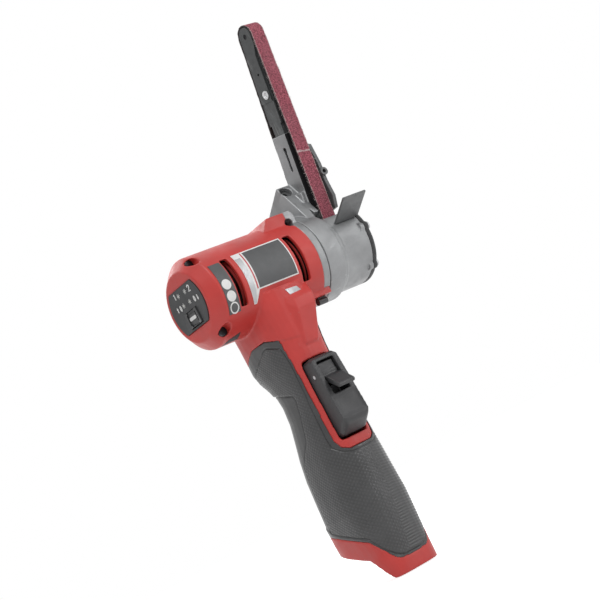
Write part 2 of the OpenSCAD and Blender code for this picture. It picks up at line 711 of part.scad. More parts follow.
module tip_pulley() color(steel) arm() difference() {
    xpin(bar_x0 + 1.4, bar_x1 - 1.4, 0, centre_d, tip_r);
    xpin(bar_x0, bar_x1, 0, centre_d, axle_r + run_gap);
}

module platen() color(dark) arm() yz(bar_x0 + 1, bar_x1 - 1)
    polygon([[-arm_f, arm_w0 + 0.4], [-tongue_f - 0.5, arm_w0 + 0.4], [-tongue_f - 0.5, platen_w0],
        [back_gap - belt_y(platen_w0), platen_w0], [back_gap - belt_y(platen_w1), platen_w1],
        [-arm_f, platen_w1]]);

// Belt loop outline, grown by g from its inside
module loop2d(g) polygon(concat(
    [for (i = [0 : 28]) let (t = 180 - loop_a + (180 + 2 * loop_a) * i / 28) (in_r1 + g) * [cos(t), sin(t)]],
    [for (i = [0 : 20]) let (t = loop_a + (180 - 2 * loop_a) * i / 20)
        [0, centre_d] + (in_r2 + g) * [cos(t), sin(t)]]));
module belt() color([0.5, 0.2, 0.22]) arm() yz(belt_x0, belt_x1) difference() {
    loop2d(belt_t);
    loop2d(0);
}

// Coil of the belt tension spring
module tension_spring() color(steel) {
    turns = 5;
    steps = 15;
    m = turns * steps;
    r = 2.9;
    wire = 0.45;
    z0 = spring_w0 + wire;
    pitch = (spring_w1 - spring_w0 - 2 * wire) / turns;
    k = 6;
    pts = [for (i = [0 : m]) for (j = [0 : k - 1]) let (a = 360 * i / steps, b = 360 * j / k)
        [(r + wire * cos(b)) * cos(a), (r + wire * cos(b)) * sin(a), z0 + pitch * i / steps + wire * sin(b)]];
    sides = [for (i = [0 : m - 1]) for (j = [0 : k - 1]) let (l = (j + 1) % k)
        each [[i * k + j, i * k + l, (i + 1) * k + l], [i * k + j, (i + 1) * k + l, (i + 1) * k + j]]];
    first = [for (j = [k - 1 : -1 : 0]) j];
    last = [for (j = [0 : k - 1]) m * k + j];
    arm() translate([belt_x, 0, 0])
        polyhedron(points = pts, faces = concat(sides, [first], [last]), convexity = 8);
}

// Paddle with the lock lever in its window
module paddle() color(black) difference() {
    union() {
        yz(-paddle_w / 2, paddle_w / 2) polygon([[pad_back, -55.2], [-26, paddle_top], [-28.2, -56],
            [-31.6, -91.5], [-31.2, -93.4], [-30.2, -94.6], [-23.4, paddle_bot + 0.5], [-20, paddle_bot],
            [pad_back, -92]]);
        yz(-lug_w / 2, lug_w / 2) polygon([[-20, -57.4], [-19, -54.2], [-17.6, -50.4], [-14.5, -49.4],
            [-12.2, -51], [-12.4, -54], [-15, -57.4]]);
    }
    box(-pocket_w / 2, pocket_w / 2, -60, pocket_y, pocket_z1, pocket_z0);
    box(-pocket_w / 2, pocket_w / 2, -60, 0, leg_z1, leg_z0);
    xpin(-20, 20, pad_hinge[0], pad_hinge[1], pad_pin_r + run_gap);
    xpin(-20, 20, lock_hinge[0], lock_hinge[1], 1);
}
module paddle_pin() color(steel) xpin(-room_w / 2, room_w / 2, pad_hinge[0], pad_hinge[1], pad_pin_r);
module lock_pin() color(steel) xpin(-paddle_w / 2 + 0.3, paddle_w / 2 - 0.3, lock_hinge[0], lock_hinge[1], 1);
module lock_lever() color(black) difference() {
    union() {
        yz(-tab_w / 2, tab_w / 2) polygon([[-24.4, -58.6], [-26.4, -58.6], [-27, -66.4], [-29.4, -66.8],
            [-30.8, -67.7], [-37.4, -73.5], [-37.5, -74.7], [-36.5, -75.6], [-35.2, -75], [-30, -70.8],
            [-26.6, -69.4], [-24, -67.1], [-17.4, -67], [-17.4, -64.6], [-22.5, -63]]);
        xpin(-tab_w / 2, tab_w / 2, lock_hinge[0], lock_hinge[1], 2.6);
    }
    xpin(-20, 20, lock_hinge[0], lock_hinge[1], 1 + run_gap);
}
module paddle_spring() color(steel) yz(-3, 3)
    polygon([[-8, -97.5], [-8, -94], [-18, -89.6], [-18.4, -90.2], [-8.6, -94.6], [-8.6, -97.5]]);
module switch_box() color(dark) {
    box(-8, 8, -8, 8, -98.5, -68);
    box(-2.5, 2.5, plunger_y, -8 + eps, plunger_z, plunger_z + 5);
}

// Battery contacts at the top of the socket
module terminal_block() color(dark) {
    box(-9, 9, -9, 9, socket_top - 6, socket_top);
    box(-5, 5, -6, 6, socket_top - eps, -102);
}
module terminal_blades() color([0.75, 0.6, 0.3]) for (x = [-5.6, 0, 5.6])
    box(x - 0.5, x + 0.5, -3, 3, socket_top - 17, socket_top - 6);

// Plates on the barrel
module wide_label() color([0.2, 0.2, 0.2]) intersection() {
    difference() {
        xcyl(-24, 20, barrel_r + 0.25);
        xcyl(-25, 21, barrel_r);
    }
    xz(-40, -5) polygon([[-20.3, 14.1], [13.6, 14.1], [13.6, -9], [-13.6, -9], [-15.4, -11], [-16.4, -15.2],
        [-20.3, -15.2]]);
}
module narrow_label() color([0.3, 0.3, 0.3]) intersection() {
    difference() {
        xcyl(-37.4, -29, barrel_r + 0.25);
        xcyl(-39, -28, barrel_r);
    }
    box(-37, -29.4, -40, -5, -15.6, 13);
}

place() front_housing();
place() rear_housing();
place() grip_sleeve();
place() housing_screws();
place() mode_panel();
place() mode_button();
place() mode_leds();
place() control_board();
place() work_lamp();
place() stator();
place() rotor();
place() fan();
place() rear_bearing();
place() front_bearing();
place() motor_plate();
place() gear_case();
place() ring_gear();
place() sun_pinion();
place() planet_gear_a();
place() planet_gear_b();
place() planet_gear_c();
place() carrier();
place() spindle_bearing();
place() drive_pulley();
place() pulley_screw();
place() arm_casting();
place() clamp_screw();
place() drum_cover();
place() cover_gasket();
place() cover_screws();
place() deflector();
place() side_bracket();
place() bracket_screws();
place() arm_bar();
place() stop_pin();
place() tension_spring();
place() platen();
place() near_cheek();
place() far_cheek();
place() cheek_screws();
place() tip_axle();
place() tip_pulley();
place() belt();
place() paddle();
place() paddle_pin();
place() lock_lever();
place() lock_pin();
place() paddle_spring();
place() switch_box();
place() terminal_block();
place() terminal_blades();
place() wide_label();
place() narrow_label();
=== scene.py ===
"""Looks of a battery power file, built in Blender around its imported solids.

Sizes in the classes are millimetres from the motor axis. The studio and the grip's texture are in metres.
"""

import logging
import math
import random
from dataclasses import dataclass
from enum import Enum
from typing import Iterable, Optional, Sequence

import bmesh
import bpy
import numpy
from mathutils import Matrix, Vector
from mathutils.bvhtree import BVHTree


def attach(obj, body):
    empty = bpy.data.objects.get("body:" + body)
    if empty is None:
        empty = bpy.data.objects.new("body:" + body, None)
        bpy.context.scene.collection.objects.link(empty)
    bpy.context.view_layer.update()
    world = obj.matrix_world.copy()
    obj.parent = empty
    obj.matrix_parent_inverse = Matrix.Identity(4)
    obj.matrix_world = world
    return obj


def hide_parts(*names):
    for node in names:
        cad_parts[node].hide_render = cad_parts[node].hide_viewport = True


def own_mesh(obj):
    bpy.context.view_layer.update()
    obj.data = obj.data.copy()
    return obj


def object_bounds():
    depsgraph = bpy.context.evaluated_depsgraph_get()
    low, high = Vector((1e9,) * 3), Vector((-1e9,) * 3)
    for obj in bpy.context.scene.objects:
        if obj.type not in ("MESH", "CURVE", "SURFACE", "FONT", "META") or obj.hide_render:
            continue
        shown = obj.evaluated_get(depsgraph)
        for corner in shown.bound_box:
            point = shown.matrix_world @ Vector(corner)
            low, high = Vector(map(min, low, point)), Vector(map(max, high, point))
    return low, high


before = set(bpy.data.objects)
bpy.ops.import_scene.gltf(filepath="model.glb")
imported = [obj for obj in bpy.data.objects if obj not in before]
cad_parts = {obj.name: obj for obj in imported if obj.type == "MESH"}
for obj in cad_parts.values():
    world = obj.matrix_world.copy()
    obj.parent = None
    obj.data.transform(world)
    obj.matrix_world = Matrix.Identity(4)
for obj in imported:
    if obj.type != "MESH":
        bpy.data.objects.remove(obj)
CAD_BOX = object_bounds()
LOG = logging.getLogger("power_file")

# Metres in a millimetre, and the motor axis above the frame's origin in millimetres
MM = 0.001
AXIS_HEIGHT = 165.0
# Texture of the grip: rows and border line in metres, and the slant of its dots
GRIP_PITCH = 0.0016
GRIP_LINE = 0.00045
GRIP_WEAVE = 0.7
# Lean of the belt arm in degrees, and the belt's edges along the motor axis
ARM_LEAN = 12.2
BELT_LEFT = 54.6
BELT_RIGHT = 64.2
# Distance at which points are welded, and the angles that part flat, sharp and creased edges
WELD = 2e-6
FLAT = math.radians(1.0)
SHARP = math.radians(28)
CREASE = math.radians(32)
# Drive recess of a screw, as shares of its head's radius
HEAD_RIM = 0.48
HEAD_SLOPE = 0.04
HEAD_SUNK = 0.25
HEAD_EDGE = 0.08
# How deep a film sits in its carrier in millimetres, and how far off its place is sought in metres
FILM_ROOT = 0.05
FILM_REACH = 0.02

Colour = tuple[float, float, float]
Place = tuple[float, float, float]
Pair = tuple[float, float]
Sheet = tuple[Place, Place]


def at(x: float, y: float, z: float) -> Vector:
    """Turn a place measured from the motor axis, in millimetres, into the frame's metres.

    Args:
        x: Along the motor axis, towards the belt.
        y: To the back.
        z: Up from the motor axis.

    Returns:
        The place in the frame.
    """
    return Vector((x * MM, y * MM, (z + AXIS_HEIGHT) * MM))


def shade(colour: Colour, factor: float, lift: float = 0.0) -> Colour:
    """Make a colour darker or paler.

    Args:
        colour: The colour.
        factor: What it is multiplied by.
        lift: What is then added.

    Returns:
        The new colour.
    """
    return tuple(min(1.0, c * factor + lift) for c in colour)


class Coat(Enum):
    """How glossy a moulded surface is."""

    SATIN = 0.42
    MATT = 0.6
    GLOSS = 0.25


class Graph:
    """A material's node tree, with one short method for each kind of node."""

    def __init__(self, name: str) -> None:
        """Start a material with an empty surface shader.

        Args:
            name: The material's name.
        """
        self.material = bpy.data.materials.new(name)
        self.material.use_nodes = True
        self.nodes = self.material.node_tree.nodes
        self.links = self.material.node_tree.links
        self.shader = self.nodes["Principled BSDF"]
        self.place = self.nodes.new("ShaderNodeTexCoord").outputs["Object"]

    def set(self, **values: object) -> "Graph":
        """Set sockets of the shader, with underscores for the spaces in their names.

        Args:
            values: Names and values of the sockets.

        Returns:
            This graph.
        """
        for key, value in values.items():
            self.shader.inputs[key.replace("_", " ")].default_value = value
        return self

    def join(self, source: object, socket: str) -> None:
        """Link an output to a socket of the shader."""
        self.links.new(source, self.shader.inputs[socket])

    def feed(self, socket: bpy.types.NodeSocket, value: object) -> None:
        """Link an output to a socket, or set the socket to a number or a colour.

        Args:
            socket: The socket.
            value: The output, number or colour.
        """
        if isinstance(value, (int, float)):
            socket.default_value = value
        elif isinstance(value, tuple):
            socket.default_value = (*value, 1.0)
        else:
            self.links.new(value, socket)

    def noise(self, scale: float, detail: float = 3.0, stretch: Colour = (1, 1, 1)) -> object:
        """Add noise on the object's own coordinates.

        Args:
            scale: Waves per metre.
            detail: Octaves.
            stretch: Scale along each axis.

        Returns:
            The noise's factor output.
        """
        turned = self.nodes.new("ShaderNodeMapping")
        turned.inputs["Scale"].default_value = stretch
        self.links.new(self.place, turned.inputs["Vector"])
        node = self.nodes.new("ShaderNodeTexNoise")
        node.inputs["Scale"].default_value = scale
        node.inputs["Detail"].default_value = detail
        self.links.new(turned.outputs["Vector"], node.inputs["Vector"])
        return node.outputs["Fac"]

    def cells(self, scale: float) -> object:
        """Add a field of uneven rounded cells.

        Args:
            scale: Cells per metre.

        Returns:
            The distance output.
        """
        node = self.nodes.new("ShaderNodeTexVoronoi")
        node.inputs["Scale"].default_value = scale
        self.links.new(self.place, node.inputs["Vector"])
        return node.outputs["Distance"]

    def ramp(self, source: object, stops: Sequence[tuple[float, Colour]]) -> object:
        """Map a factor to colours.

        Args:
            source: The factor.
            stops: Place and colour of each stop.

        Returns:
            The colour output.
        """
        node = self.nodes.new("ShaderNodeValToRGB")
        band = node.color_ramp.elements
        while len(band) < len(stops):
            band.new(0.5)
        for stop, (place, colour) in zip(band, stops):
            stop.position = place
            stop.color = (*colour, 1.0)
        self.links.new(source, node.inputs["Fac"])
        return node.outputs["Color"]

    def span(self, source: object, low: float, high: float, start: float, end: float) -> object:
        """Map a factor from one range to another.

        Args:
            source: The factor.
            low: Its value that maps to start.
            high: Its value that maps to end.
            start: The first mapped value.
            end: The last mapped value.

        Returns:
            The mapped output.
        """
        node = self.nodes.new("ShaderNodeMapRange")
        for name, value in (("From Min", low), ("From Max", high), ("To Min", start), ("To Max", end)):
            node.inputs[name].default_value = value
        self.links.new(source, node.inputs["Value"])
        return node.outputs["Result"]

    def rough(self, scale: float, detail: float, low: float, high: float) -> None:
        """Let the roughness wander.

        Args:
            scale: Waves per metre.
            detail: Octaves.
            low: Roughness of the smoothest places.
            high: Roughness of the dullest places.
        """
        self.join(self.span(self.noise(scale, detail), 0.3, 0.7, low, high), "Roughness")

    def mix(self, factor: object, low: object, high: object) -> object:
        """Blend two colours.

        Args:
            factor: Output or number that says how much of the second.
            low: First colour or output.
            high: Second colour or output.

        Returns:
            The colour output.
        """
        node = self.nodes.new("ShaderNodeMix")
        node.data_type = "RGBA"
        for socket, value in ((0, factor), (6, low), (7, high)):
            self.feed(node.inputs[socket], value)
        return node.outputs[2]

    def combine(self, kind: str, first: object, second: object) -> object:
        """Combine two values.

        Args:
            kind: Name of the operation.
            first: Output or number.
            second: Output or number.

        Returns:
            The value output.
        """
        node = self.nodes.new("ShaderNodeMath")
        node.operation = kind
        for socket, value in ((0, first), (1, second)):
            self.feed(node.inputs[socket], value)
        return node.outputs["Value"]

    def along(self, direction: Vector) -> object:
        """Measure the place along a direction, in metres.

        Args:
            direction: The direction, of length one.

        Returns:
            The value output.
        """
        node = self.nodes.new("ShaderNodeVectorMath")
        node.operation = "DOT_PRODUCT"
        node.inputs[1].default_value = direction
        self.links.new(self.place, node.inputs[0])
        return node.outputs["Value"]

    def attribute(self, name: str) -> object:
        """Read a value that the mesh carries on its points.

        Args:
            name: The attribute's name.

        Returns:
            The value output.
        """
        node = self.nodes.new("ShaderNodeAttribute")
        node.attribute_name = name
        return node.outputs["Fac"]

    def raised_edges(self) -> object:
        """Tell the raised edges from the rest of a dense mesh."""
        node = self.nodes.new("ShaderNodeNewGeometry")
        return node.outputs["Pointiness"]

    def bump(self, height: object, depth: float, strength: float = 1.0,
             under: Optional[object] = None) -> object:
        """Add relief.

        Args:
            height: The height factor.
            depth: Its depth in metres.
            strength: Share of the relief.
            under: The normal output of a relief below it.

        Returns:
            The normal output.
        """
        node = self.nodes.new("ShaderNodeBump")
        node.inputs["Strength"].default_value = strength
        node.inputs["Distance"].default_value = depth
        self.links.new(height, node.inputs["Height"])
        if under is not None:
            self.links.new(under, node.inputs["Normal"])
        return node.outputs["Normal"]


@dataclass(frozen=True)
class Moulded:
    """Moulded plastic with a fine spark-eroded grain, painted paler along its raised edges as a highlight."""

    name: str
    colour: Colour
    coat: Coat = Coat.SATIN
    grain: float = 2600.0
    depth: float = 0.00004
    tone: float = 0.1
    shine: float = 0.5
    # edge and onset: share of the painted highlight on raised edges, and the pointiness where it begins
    edge: float = 0.3
    onset: float = 0.53

    def material(self) -> bpy.types.Material:
        """Make the material.

        Returns:
            The material.
        """
        graph = Graph(self.name).set(IOR=1.5, Specular_IOR_Level=self.shine)
        dim = shade(self.colour, 1 - self.tone)
        lit = shade(self.colour, 1 + self.tone)
        cloud = graph.noise(45.0, 4.0)
        base = graph.ramp(cloud, ((0.3, dim), (0.7, lit)))
        # Painted highlight: raised edges, found by their pointiness, are blended towards a paler colour
        edge = graph.span(graph.raised_edges(), self.onset, self.onset + 0.09, 0.0, self.edge)
        pale = shade(self.colour, 0.75, 0.06)
        graph.join(graph.mix(edge, base, pale), "Base Color")
        gloss = self.coat.value
        graph.rough(160.0, 5.0, gloss - 0.06, gloss + 0.08)
        graph.join(graph.bump(graph.noise(self.grain, 2.0), self.depth), "Normal")
        return graph.material


@dataclass(frozen=True)
class GripRubber:
    """Soft rubber with rows of small raised dots in its field and ribs across its front, painted paler on top
    as a highlight.
    """

    name: str
    colour: Colour
    pitch: float = GRIP_PITCH
    line: float = GRIP_LINE

    def material(self) -> bpy.types.Material:
        """Make the material.

        Returns:
            The material.
        """
        graph = Graph(self.name).set(IOR=1.5, Specular_IOR_Level=0.5)
        dim = shade(self.colour, 0.75)
        lit = shade(self.colour, 1.3)
        turn = math.pi / self.pitch
        climb, about = graph.along(Vector((0, 0, 1))), graph.attribute("around")
        level = graph.combine("SINE", graph.combine("MULTIPLY", climb, turn), 0.0)
        rows = graph.combine("MULTIPLY", level, level)
        rising, falling = graph.combine("ADD", climb, about), graph.combine("SUBTRACT", climb, about)
        left = graph.combine("SINE", graph.combine("MULTIPLY", rising, turn * GRIP_WEAVE), 0.0)
        right = graph.combine("SINE", graph.combine("MULTIPLY", falling, turn * GRIP_WEAVE), 0.0)
        dot = graph.combine("MULTIPLY", left, right)
        front = graph.attribute("front")
        field = graph.combine("SUBTRACT", 1.0, front)
        dots = graph.combine("MULTIPLY", graph.combine("MULTIPLY", dot, dot), field)
        pattern = graph.combine("ADD", dots, graph.combine("MULTIPLY", rows, front))
        reach = graph.attribute("reach")
        shown = graph.combine("MULTIPLY", pattern, graph.span(reach, self.line, self.line * 2, 0.0, 1.0))
        groove = graph.span(graph.combine("ABSOLUTE", reach, 0.0), self.line * 0.4, self.line, 1.0, 0.0)
        base = graph.ramp(graph.noise(60.0, 4.0), ((0.3, dim), (0.7, lit)))
        # Painted highlight: the raised dots and ribs are blended towards a paler colour
        high = shade(self.colour, 1.9)
        base = graph.mix(graph.combine("MULTIPLY", shown, 0.5), base, high)
        # Painted shade: the groove along the field's line is painted dark
        graph.join(graph.mix(groove, base, shade(self.colour, 0.35)), "Base Color")
        graph.rough(220.0, 4.0, 0.27, 0.36)
        fine = graph.bump(graph.noise(3000.0, 2.0), 0.00004)
        raised = graph.bump(shown, 0.00006, 1.0, fine)
        graph.join(graph.bump(graph.combine("SUBTRACT", 1.0, groove), 0.0001, 1.0, raised), "Normal")
        return graph.material


@dataclass(frozen=True)
class CastMetal:
    """Cast or pressed metal under a thin paint, paler along its edges from rubbed paint and a painted
    highlight, and scratched.
    """

    name: str
    colour: Colour
    rough: float = 0.42
    metal: float = 0.5
    scratch: float = 0.0

    def material(self) -> bpy.types.Material:
        """Make the material.

        Returns:
            The material.
        """
        graph = Graph(self.name).set(Metallic=self.metal)
        dim = shade(self.colour, 0.82)
        lit = shade(self.colour, 1.12)
        base = graph.ramp(graph.noise(70.0, 5.0), ((0.3, dim), (0.72, lit)))
        # Raised edges are painted paler: partly rubbed paint, partly a painted highlight
        edge = graph.span(graph.raised_edges(), 0.53, 0.6, 0.0, 0.3)
        base = graph.mix(edge, base, shade(self.colour, 1.6, 0.03))
        if self.scratch:
            lines = graph.noise(800.0, 3.0, (1.0, 1.0, 0.06))
            patches = graph.span(graph.noise(55.0, 3.0), 0.5, 0.62, 0.0, self.scratch)
            marks = graph.combine("MULTIPLY", graph.span(lines, 0.56, 0.64, 0.0, 1.0), patches)
            base = graph.mix(marks, base, (0.34, 0.34, 0.34))
        graph.join(base, "Base Color")
        graph.rough(260.0, 4.0, self.rough - 0.08, self.rough + 0.1)
        fine = graph.bump(graph.noise(1500.0, 3.0), 0.00006)
        graph.join(graph.bump(graph.noise(340.0, 2.0), 0.00009, 0.6, fine), "Normal")
        return graph.material


@dataclass(frozen=True)
class Steel:
    """Machined or drawn steel with fine lines along one direction."""

    name: str
    colour: Colour
    rough: float = 0.3
    lines: Colour = (1.0, 14.0, 14.0)
    metal: float = 1.0

    def material(self) -> bpy.types.Material:
        """Make the material.

        Returns:
            The material.
        """
        graph = Graph(self.name).set(Metallic=self.metal)
        dim = shade(self.colour, 0.8)
        lit = shade(self.colour, 1.12)
        streak = graph.noise(420.0, 4.0, self.lines)
        graph.join(graph.ramp(streak, ((0.3, dim), (0.7, lit))), "Base Color")
        graph.rough(150.0, 4.0, self.rough - 0.07, self.rough + 0.12)
        graph.join(graph.bump(streak, 0.00003), "Normal")
        return graph.material


@dataclass(frozen=True)
class Abrasive:
    """Cloth belt coated with grit, faded in used patches, with pale cut edges painted near-black along its
    back run as shade, and a lap joint.
    """

    name: str
    colour: Colour
    middle: float
    half: float
    lap: float

    def material(self) -> bpy.types.Material:
        """Make the material.

        Returns:
            The material.
        """
        graph = Graph(self.name).set(Roughness=0.85, Specular_IOR_Level=0.3)
        speck = graph.cells(1500.0)
        dim = shade(self.colour, 0.45)
        lit = shade(self.colour, 1.5, 0.04)
        base = graph.ramp(speck, ((0.1, lit), (0.34, self.colour), (0.68, dim)))
        used = graph.span(graph.noise(120.0, 4.0, (1.0, 1.0, 0.4)), 0.42, 0.7, 0.0, 0.3)
        base = graph.mix(used, base, shade(self.colour, 0.6, 0.06))
        side = graph.combine("SUBTRACT", graph.along(Vector((1, 0, 0))), self.middle)
        ragged = graph.span(graph.noise(1300.0, 3.0), 0.3, 0.7, -0.0005, 0.0005)
        across = graph.combine("ADD", graph.combine("ABSOLUTE", side, 0.0), ragged)
        rim = graph.span(across, self.half - 0.0008, self.half - 0.0001, 0.0, 0.8)
        # Painted shade: along the back run the cut edges are painted near-black in place of pale
        rear_shade = graph.attribute("rear_shade")
        edge = graph.mix(rear_shade, (0.5, 0.41, 0.4), (0.03, 0.02, 0.022))
        base = graph.mix(rim, base, edge)
        step = graph.combine("SUBTRACT", graph.attribute("travel"), self.lap)
        slant = graph.combine("ADD", step, graph.combine("MULTIPLY", side, 0.15))
        near = graph.combine("ABSOLUTE", graph.combine("ADD", slant, ragged), 0.0)
        joint = graph.span(near, 0.0002, 0.0006, 0.9, 0.0)
        graph.join(graph.mix(joint, base, (0.55, 0.46, 0.45)), "Base Color")
        graph.join(graph.bump(speck, 0.00025), "Normal")
        return graph.material


@dataclass(frozen=True)
class Film:
    """Printed plastic film in one ink."""

    name: str
    colour: Colour
    rough: float = 0.4
    metal: float = 0.0

    def material(self) -> bpy.types.Material:
        """Make the material.

        Returns:
            The material.
        """
        graph = Graph(self.name).set(Metallic=self.metal)
        dim = shade(self.colour, 0.88)
        graph.join(graph.ramp(graph.noise(240.0, 4.0), ((0.35, dim), (0.65, self.colour))), "Base Color")
        graph.rough(500.0, 3.0, self.rough - 0.06, self.rough + 0.06)
        graph.join(graph.bump(graph.noise(1800.0, 2.0), 0.00002), "Normal")
        return graph.material


class Paints:
    """The finishes of the tool, each made once."""

    def __init__(self) -> None:
        """Make every material."""
        self.red = Moulded("red_shell", (0.5, 0.036, 0.03)).material()
        self.black = Moulded("black_plastic", (0.024, 0.024, 0.026), Coat.SATIN, 3000.0).material()
        # The paddle's and lever's plastic gets a stronger painted highlight along its raised edges
        self.control = Moulded("control_black", (0.024, 0.024, 0.026), Coat.SATIN, 3000.0, edge=0.7,
                               onset=0.508).material()
        self.rubber = GripRubber("grip_rubber", (0.034, 0.034, 0.035)).material()
        self.cast = CastMetal("cast_alloy", (0.27, 0.275, 0.28)).material()
        self.pressed = CastMetal("pressed_steel", (0.1, 0.102, 0.104), 0.46, 0.3).material()
        self.dark = CastMetal("dark_steel", (0.055, 0.058, 0.059), 0.52, 0.25, 0.25).material()
        self.graphite = Moulded("platen_black", (0.009, 0.009, 0.01), Coat.MATT, 900.0, shine=0.12).material()
        self.steel = Steel("bright_steel", (0.55, 0.55, 0.56)).material()
        self.zinc = Steel("zinc_screw", (0.45, 0.45, 0.46), 0.36, (8.0, 8.0, 8.0)).material()
        self.oxide = Steel("black_screw", (0.03, 0.03, 0.032), 0.4, (8.0, 8.0, 8.0)).material()
        # Motor iron: dark as its own finish, and darker still as painted shade inside the cooling slots
        self.iron = Steel("motor_iron", (0.05, 0.042, 0.038), 0.5, (30.0, 1.0, 1.0)).material()
        self.brass = Steel("contact_brass", (0.62, 0.46, 0.2), 0.32).material()
        self.grit = Abrasive("abrasive_grit", (0.4, 0.1, 0.135), (BELT_LEFT + BELT_RIGHT) / 2 * MM,
                             (BELT_RIGHT - BELT_LEFT) / 2 * MM, 0.0602).material()
        self.cloth = Moulded("belt_cloth", (0.03, 0.022, 0.022), Coat.MATT, 1400.0, shine=0.2).material()
        self.thread = Film("frayed_thread", (0.55, 0.46, 0.44), 0.8).material()
        self.board = Moulded("board_green", (0.02, 0.14, 0.06), Coat.GLOSS).material()
        self.gasket = Moulded("gasket_rubber", (0.015, 0.015, 0.016), Coat.MATT).material()
        self.lamp = Film("lamp_lens", (0.6, 0.6, 0.57), 0.2).material()
        self.ink_grey = Film("label_grey", (0.07, 0.072, 0.075)).material()
        self.ink_white = Film("label_white", (0.8, 0.8, 0.79)).material()
        self.ink_red = Film("label_red", (0.5, 0.04, 0.05)).material()
        self.foil = Film("label_foil", (0.42, 0.43, 0.44), 0.35, 0.6).material()
        self.panel = Moulded("panel_black", (0.03, 0.031, 0.033), Coat.MATT).material()


def link(name: str, mesh: bpy.types.Mesh, material: bpy.types.Material) -> bpy.types.Object:
    """Put a mesh in the scene with one material.

    Args:
        name: The piece's name.
        mesh: Its mesh, in the frame.
        material: Its material.

    Returns:
        The new object.
    """
    piece = bpy.data.objects.new(name, mesh)
    bpy.context.scene.collection.objects.link(piece)
    mesh.materials.clear()
    mesh.materials.append(material)
    return piece


def piece_of(name: str, bm: bmesh.types.BMesh, material: bpy.types.Material) -> bpy.types.Object:
    """Turn a finished bmesh into a piece.

    Args:
        name: The piece's name.
        bm: Its bmesh, which is freed.
        material: Its material.

    Returns:
        The new object.
    """
    mesh = bpy.data.meshes.new(name)
    bm.to_mesh(mesh)
    bm.free()
    return link(name, mesh, material)


def settle(piece: bpy.types.Object, body: str, slot: str, *nodes: str) -> bpy.types.Object:
    """Fix a finished piece to its body and hide the CAD nodes that it replaces.

    Args:
        piece: The piece.
        body: The body that it moves with.
        slot: Not used.
        nodes: The CAD nodes that it replaces.

    Returns:
        The piece.
    """
    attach(piece, body)
    if nodes:
        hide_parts(*nodes)
    LOG.info("%s rides on %s, %d faces", piece.name, body, len(piece.data.polygons))
    return piece


def merged(node: str) -> bmesh.types.BMesh:
    """Copy a CAD node's loose triangles into one welded bmesh.

    Args:
        node: The CAD node's name.

    Returns:
        The bmesh.
    """
    bm = bmesh.new()
    bm.from_mesh(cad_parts[node].data)
    bmesh.ops.remove_doubles(bm, verts=bm.verts, dist=WELD)
    return bm


def flattened(node: str) -> bmesh.types.BMesh:
    """Copy a CAD node with whole flat faces in place of its triangles.

    Args:
        node: The CAD node's name.

    Returns:
        The bmesh.
    """
    bm = merged(node)
    bmesh.ops.dissolve_limit(bm, angle_limit=FLAT, verts=bm.verts, edges=bm.edges)
    return bm


def grown(bm: bmesh.types.BMesh, edges: Iterable) -> tuple[list, list]:
    """Extrude a row of edges on the spot.

    Args:
        bm: The bmesh.
        edges: The row.

    Returns:
        The vertices and the edges of the new row.
    """
    new = bmesh.ops.extrude_edge_only(bm, edges=list(edges))["geom"]
    verts = picked(new, bmesh.types.BMVert)
    return verts, [e for e in picked(new, bmesh.types.BMEdge) if set(e.verts) <= set(verts)]


def picked(geom: Iterable, kind: type) -> list:
    """Pick the vertices, edges or faces out of what an operator gives back."""
    return [g for g in geom if isinstance(g, kind)]


def sliced(bm: bmesh.types.BMesh, place: Vector, normal: Place, clear: bool = False) -> list:
    """Cut a bmesh along a plane.

    Args:
        bm: The bmesh.
        place: A point of the plane.
        normal: Direction across the plane.
        clear: Whether the side behind the plane goes.

    Returns:
        The edges of the cut.
    """
    geom = bm.verts[:] + bm.edges[:] + bm.faces[:]
    cut = bmesh.ops.bisect_plane(bm, geom=geom, plane_co=place, plane_no=normal, clear_inner=clear)
    return picked(cut["geom_cut"], bmesh.types.BMEdge)


def bevel(bm: bmesh.types.BMesh, edges: list, width: float, steps: int) -> None:
    """Round off edges.

    Args:
        bm: The bmesh.
        edges: Its edges that are rounded off.
        width: Width of the round, in the bmesh's own unit.
        steps: Rows of faces across it.
    """
    bmesh.ops.bevel(bm, geom=edges, offset=width, offset_type="OFFSET", affect="EDGES", segments=steps,
                    profile=0.5, material=-1, clamp_overlap=True)


def facing_out(bm: bmesh.types.BMesh, out: Vector) -> None:
    """Turn every face of a flat drawing to one side.

    Args:
        bm: The drawing.
        out: The side that its faces look to.
    """
    bmesh.ops.recalc_face_normals(bm, faces=bm.faces)
    for face in bm.faces:
        if face.normal.dot(out) < 0:
            face.normal_flip()


def shaded(piece: bpy.types.Object, angle: float) -> bpy.types.Object:
    """Shade a piece smooth between its creases.

    Args:
        piece: The piece.
        angle: The least turn that counts as a crease.

    Returns:
        The piece.
    """
    piece.data.shade_smooth()
    piece.data.set_sharp_from_angle(angle=angle)
    return piece


def baked(piece: bpy.types.Object) -> bpy.types.Object:
    """Apply every modifier of a piece to its mesh.

    Args:
        piece: The piece.

    Returns:
        The piece.
    """
    bpy.context.view_layer.update()
    done = piece.evaluated_get(bpy.context.evaluated_depsgraph_get())
    mesh = bpy.data.meshes.new_from_object(done)
    piece.modifiers.clear()
    piece.data = mesh
    return piece


def thickened(piece: bpy.types.Object, depth: float) -> bpy.types.Object:
    """Give an open sheet its thickness, inwards.

    Args:
        piece: The sheet.
        depth: Its thickness in millimetres.

    Returns:
        The piece.
    """
    wall = piece.modifiers.new("wall", "SOLIDIFY")
    wall.thickness = depth * MM
    wall.offset = -1.0
    return baked(piece)


def softened(name: str, node: str, material: bpy.types.Material, voxel: float, rounds: int,
             keep: float = 1.0) -> bpy.types.Object:
    """Copy a CAD node as a moulded or cast piece with rounded edges.

    Args:
        name: The new piece's name.
        node: The CAD node.
        material: Its material.
        voxel: Grain of the new mesh in millimetres.
        rounds: Passes of smoothing, which set the edge radius.
        keep: Share of the faces that stay.

    Returns:
        The new piece.
    """
    return rounded(piece_of(name, merged(node), material), voxel, rounds, keep)


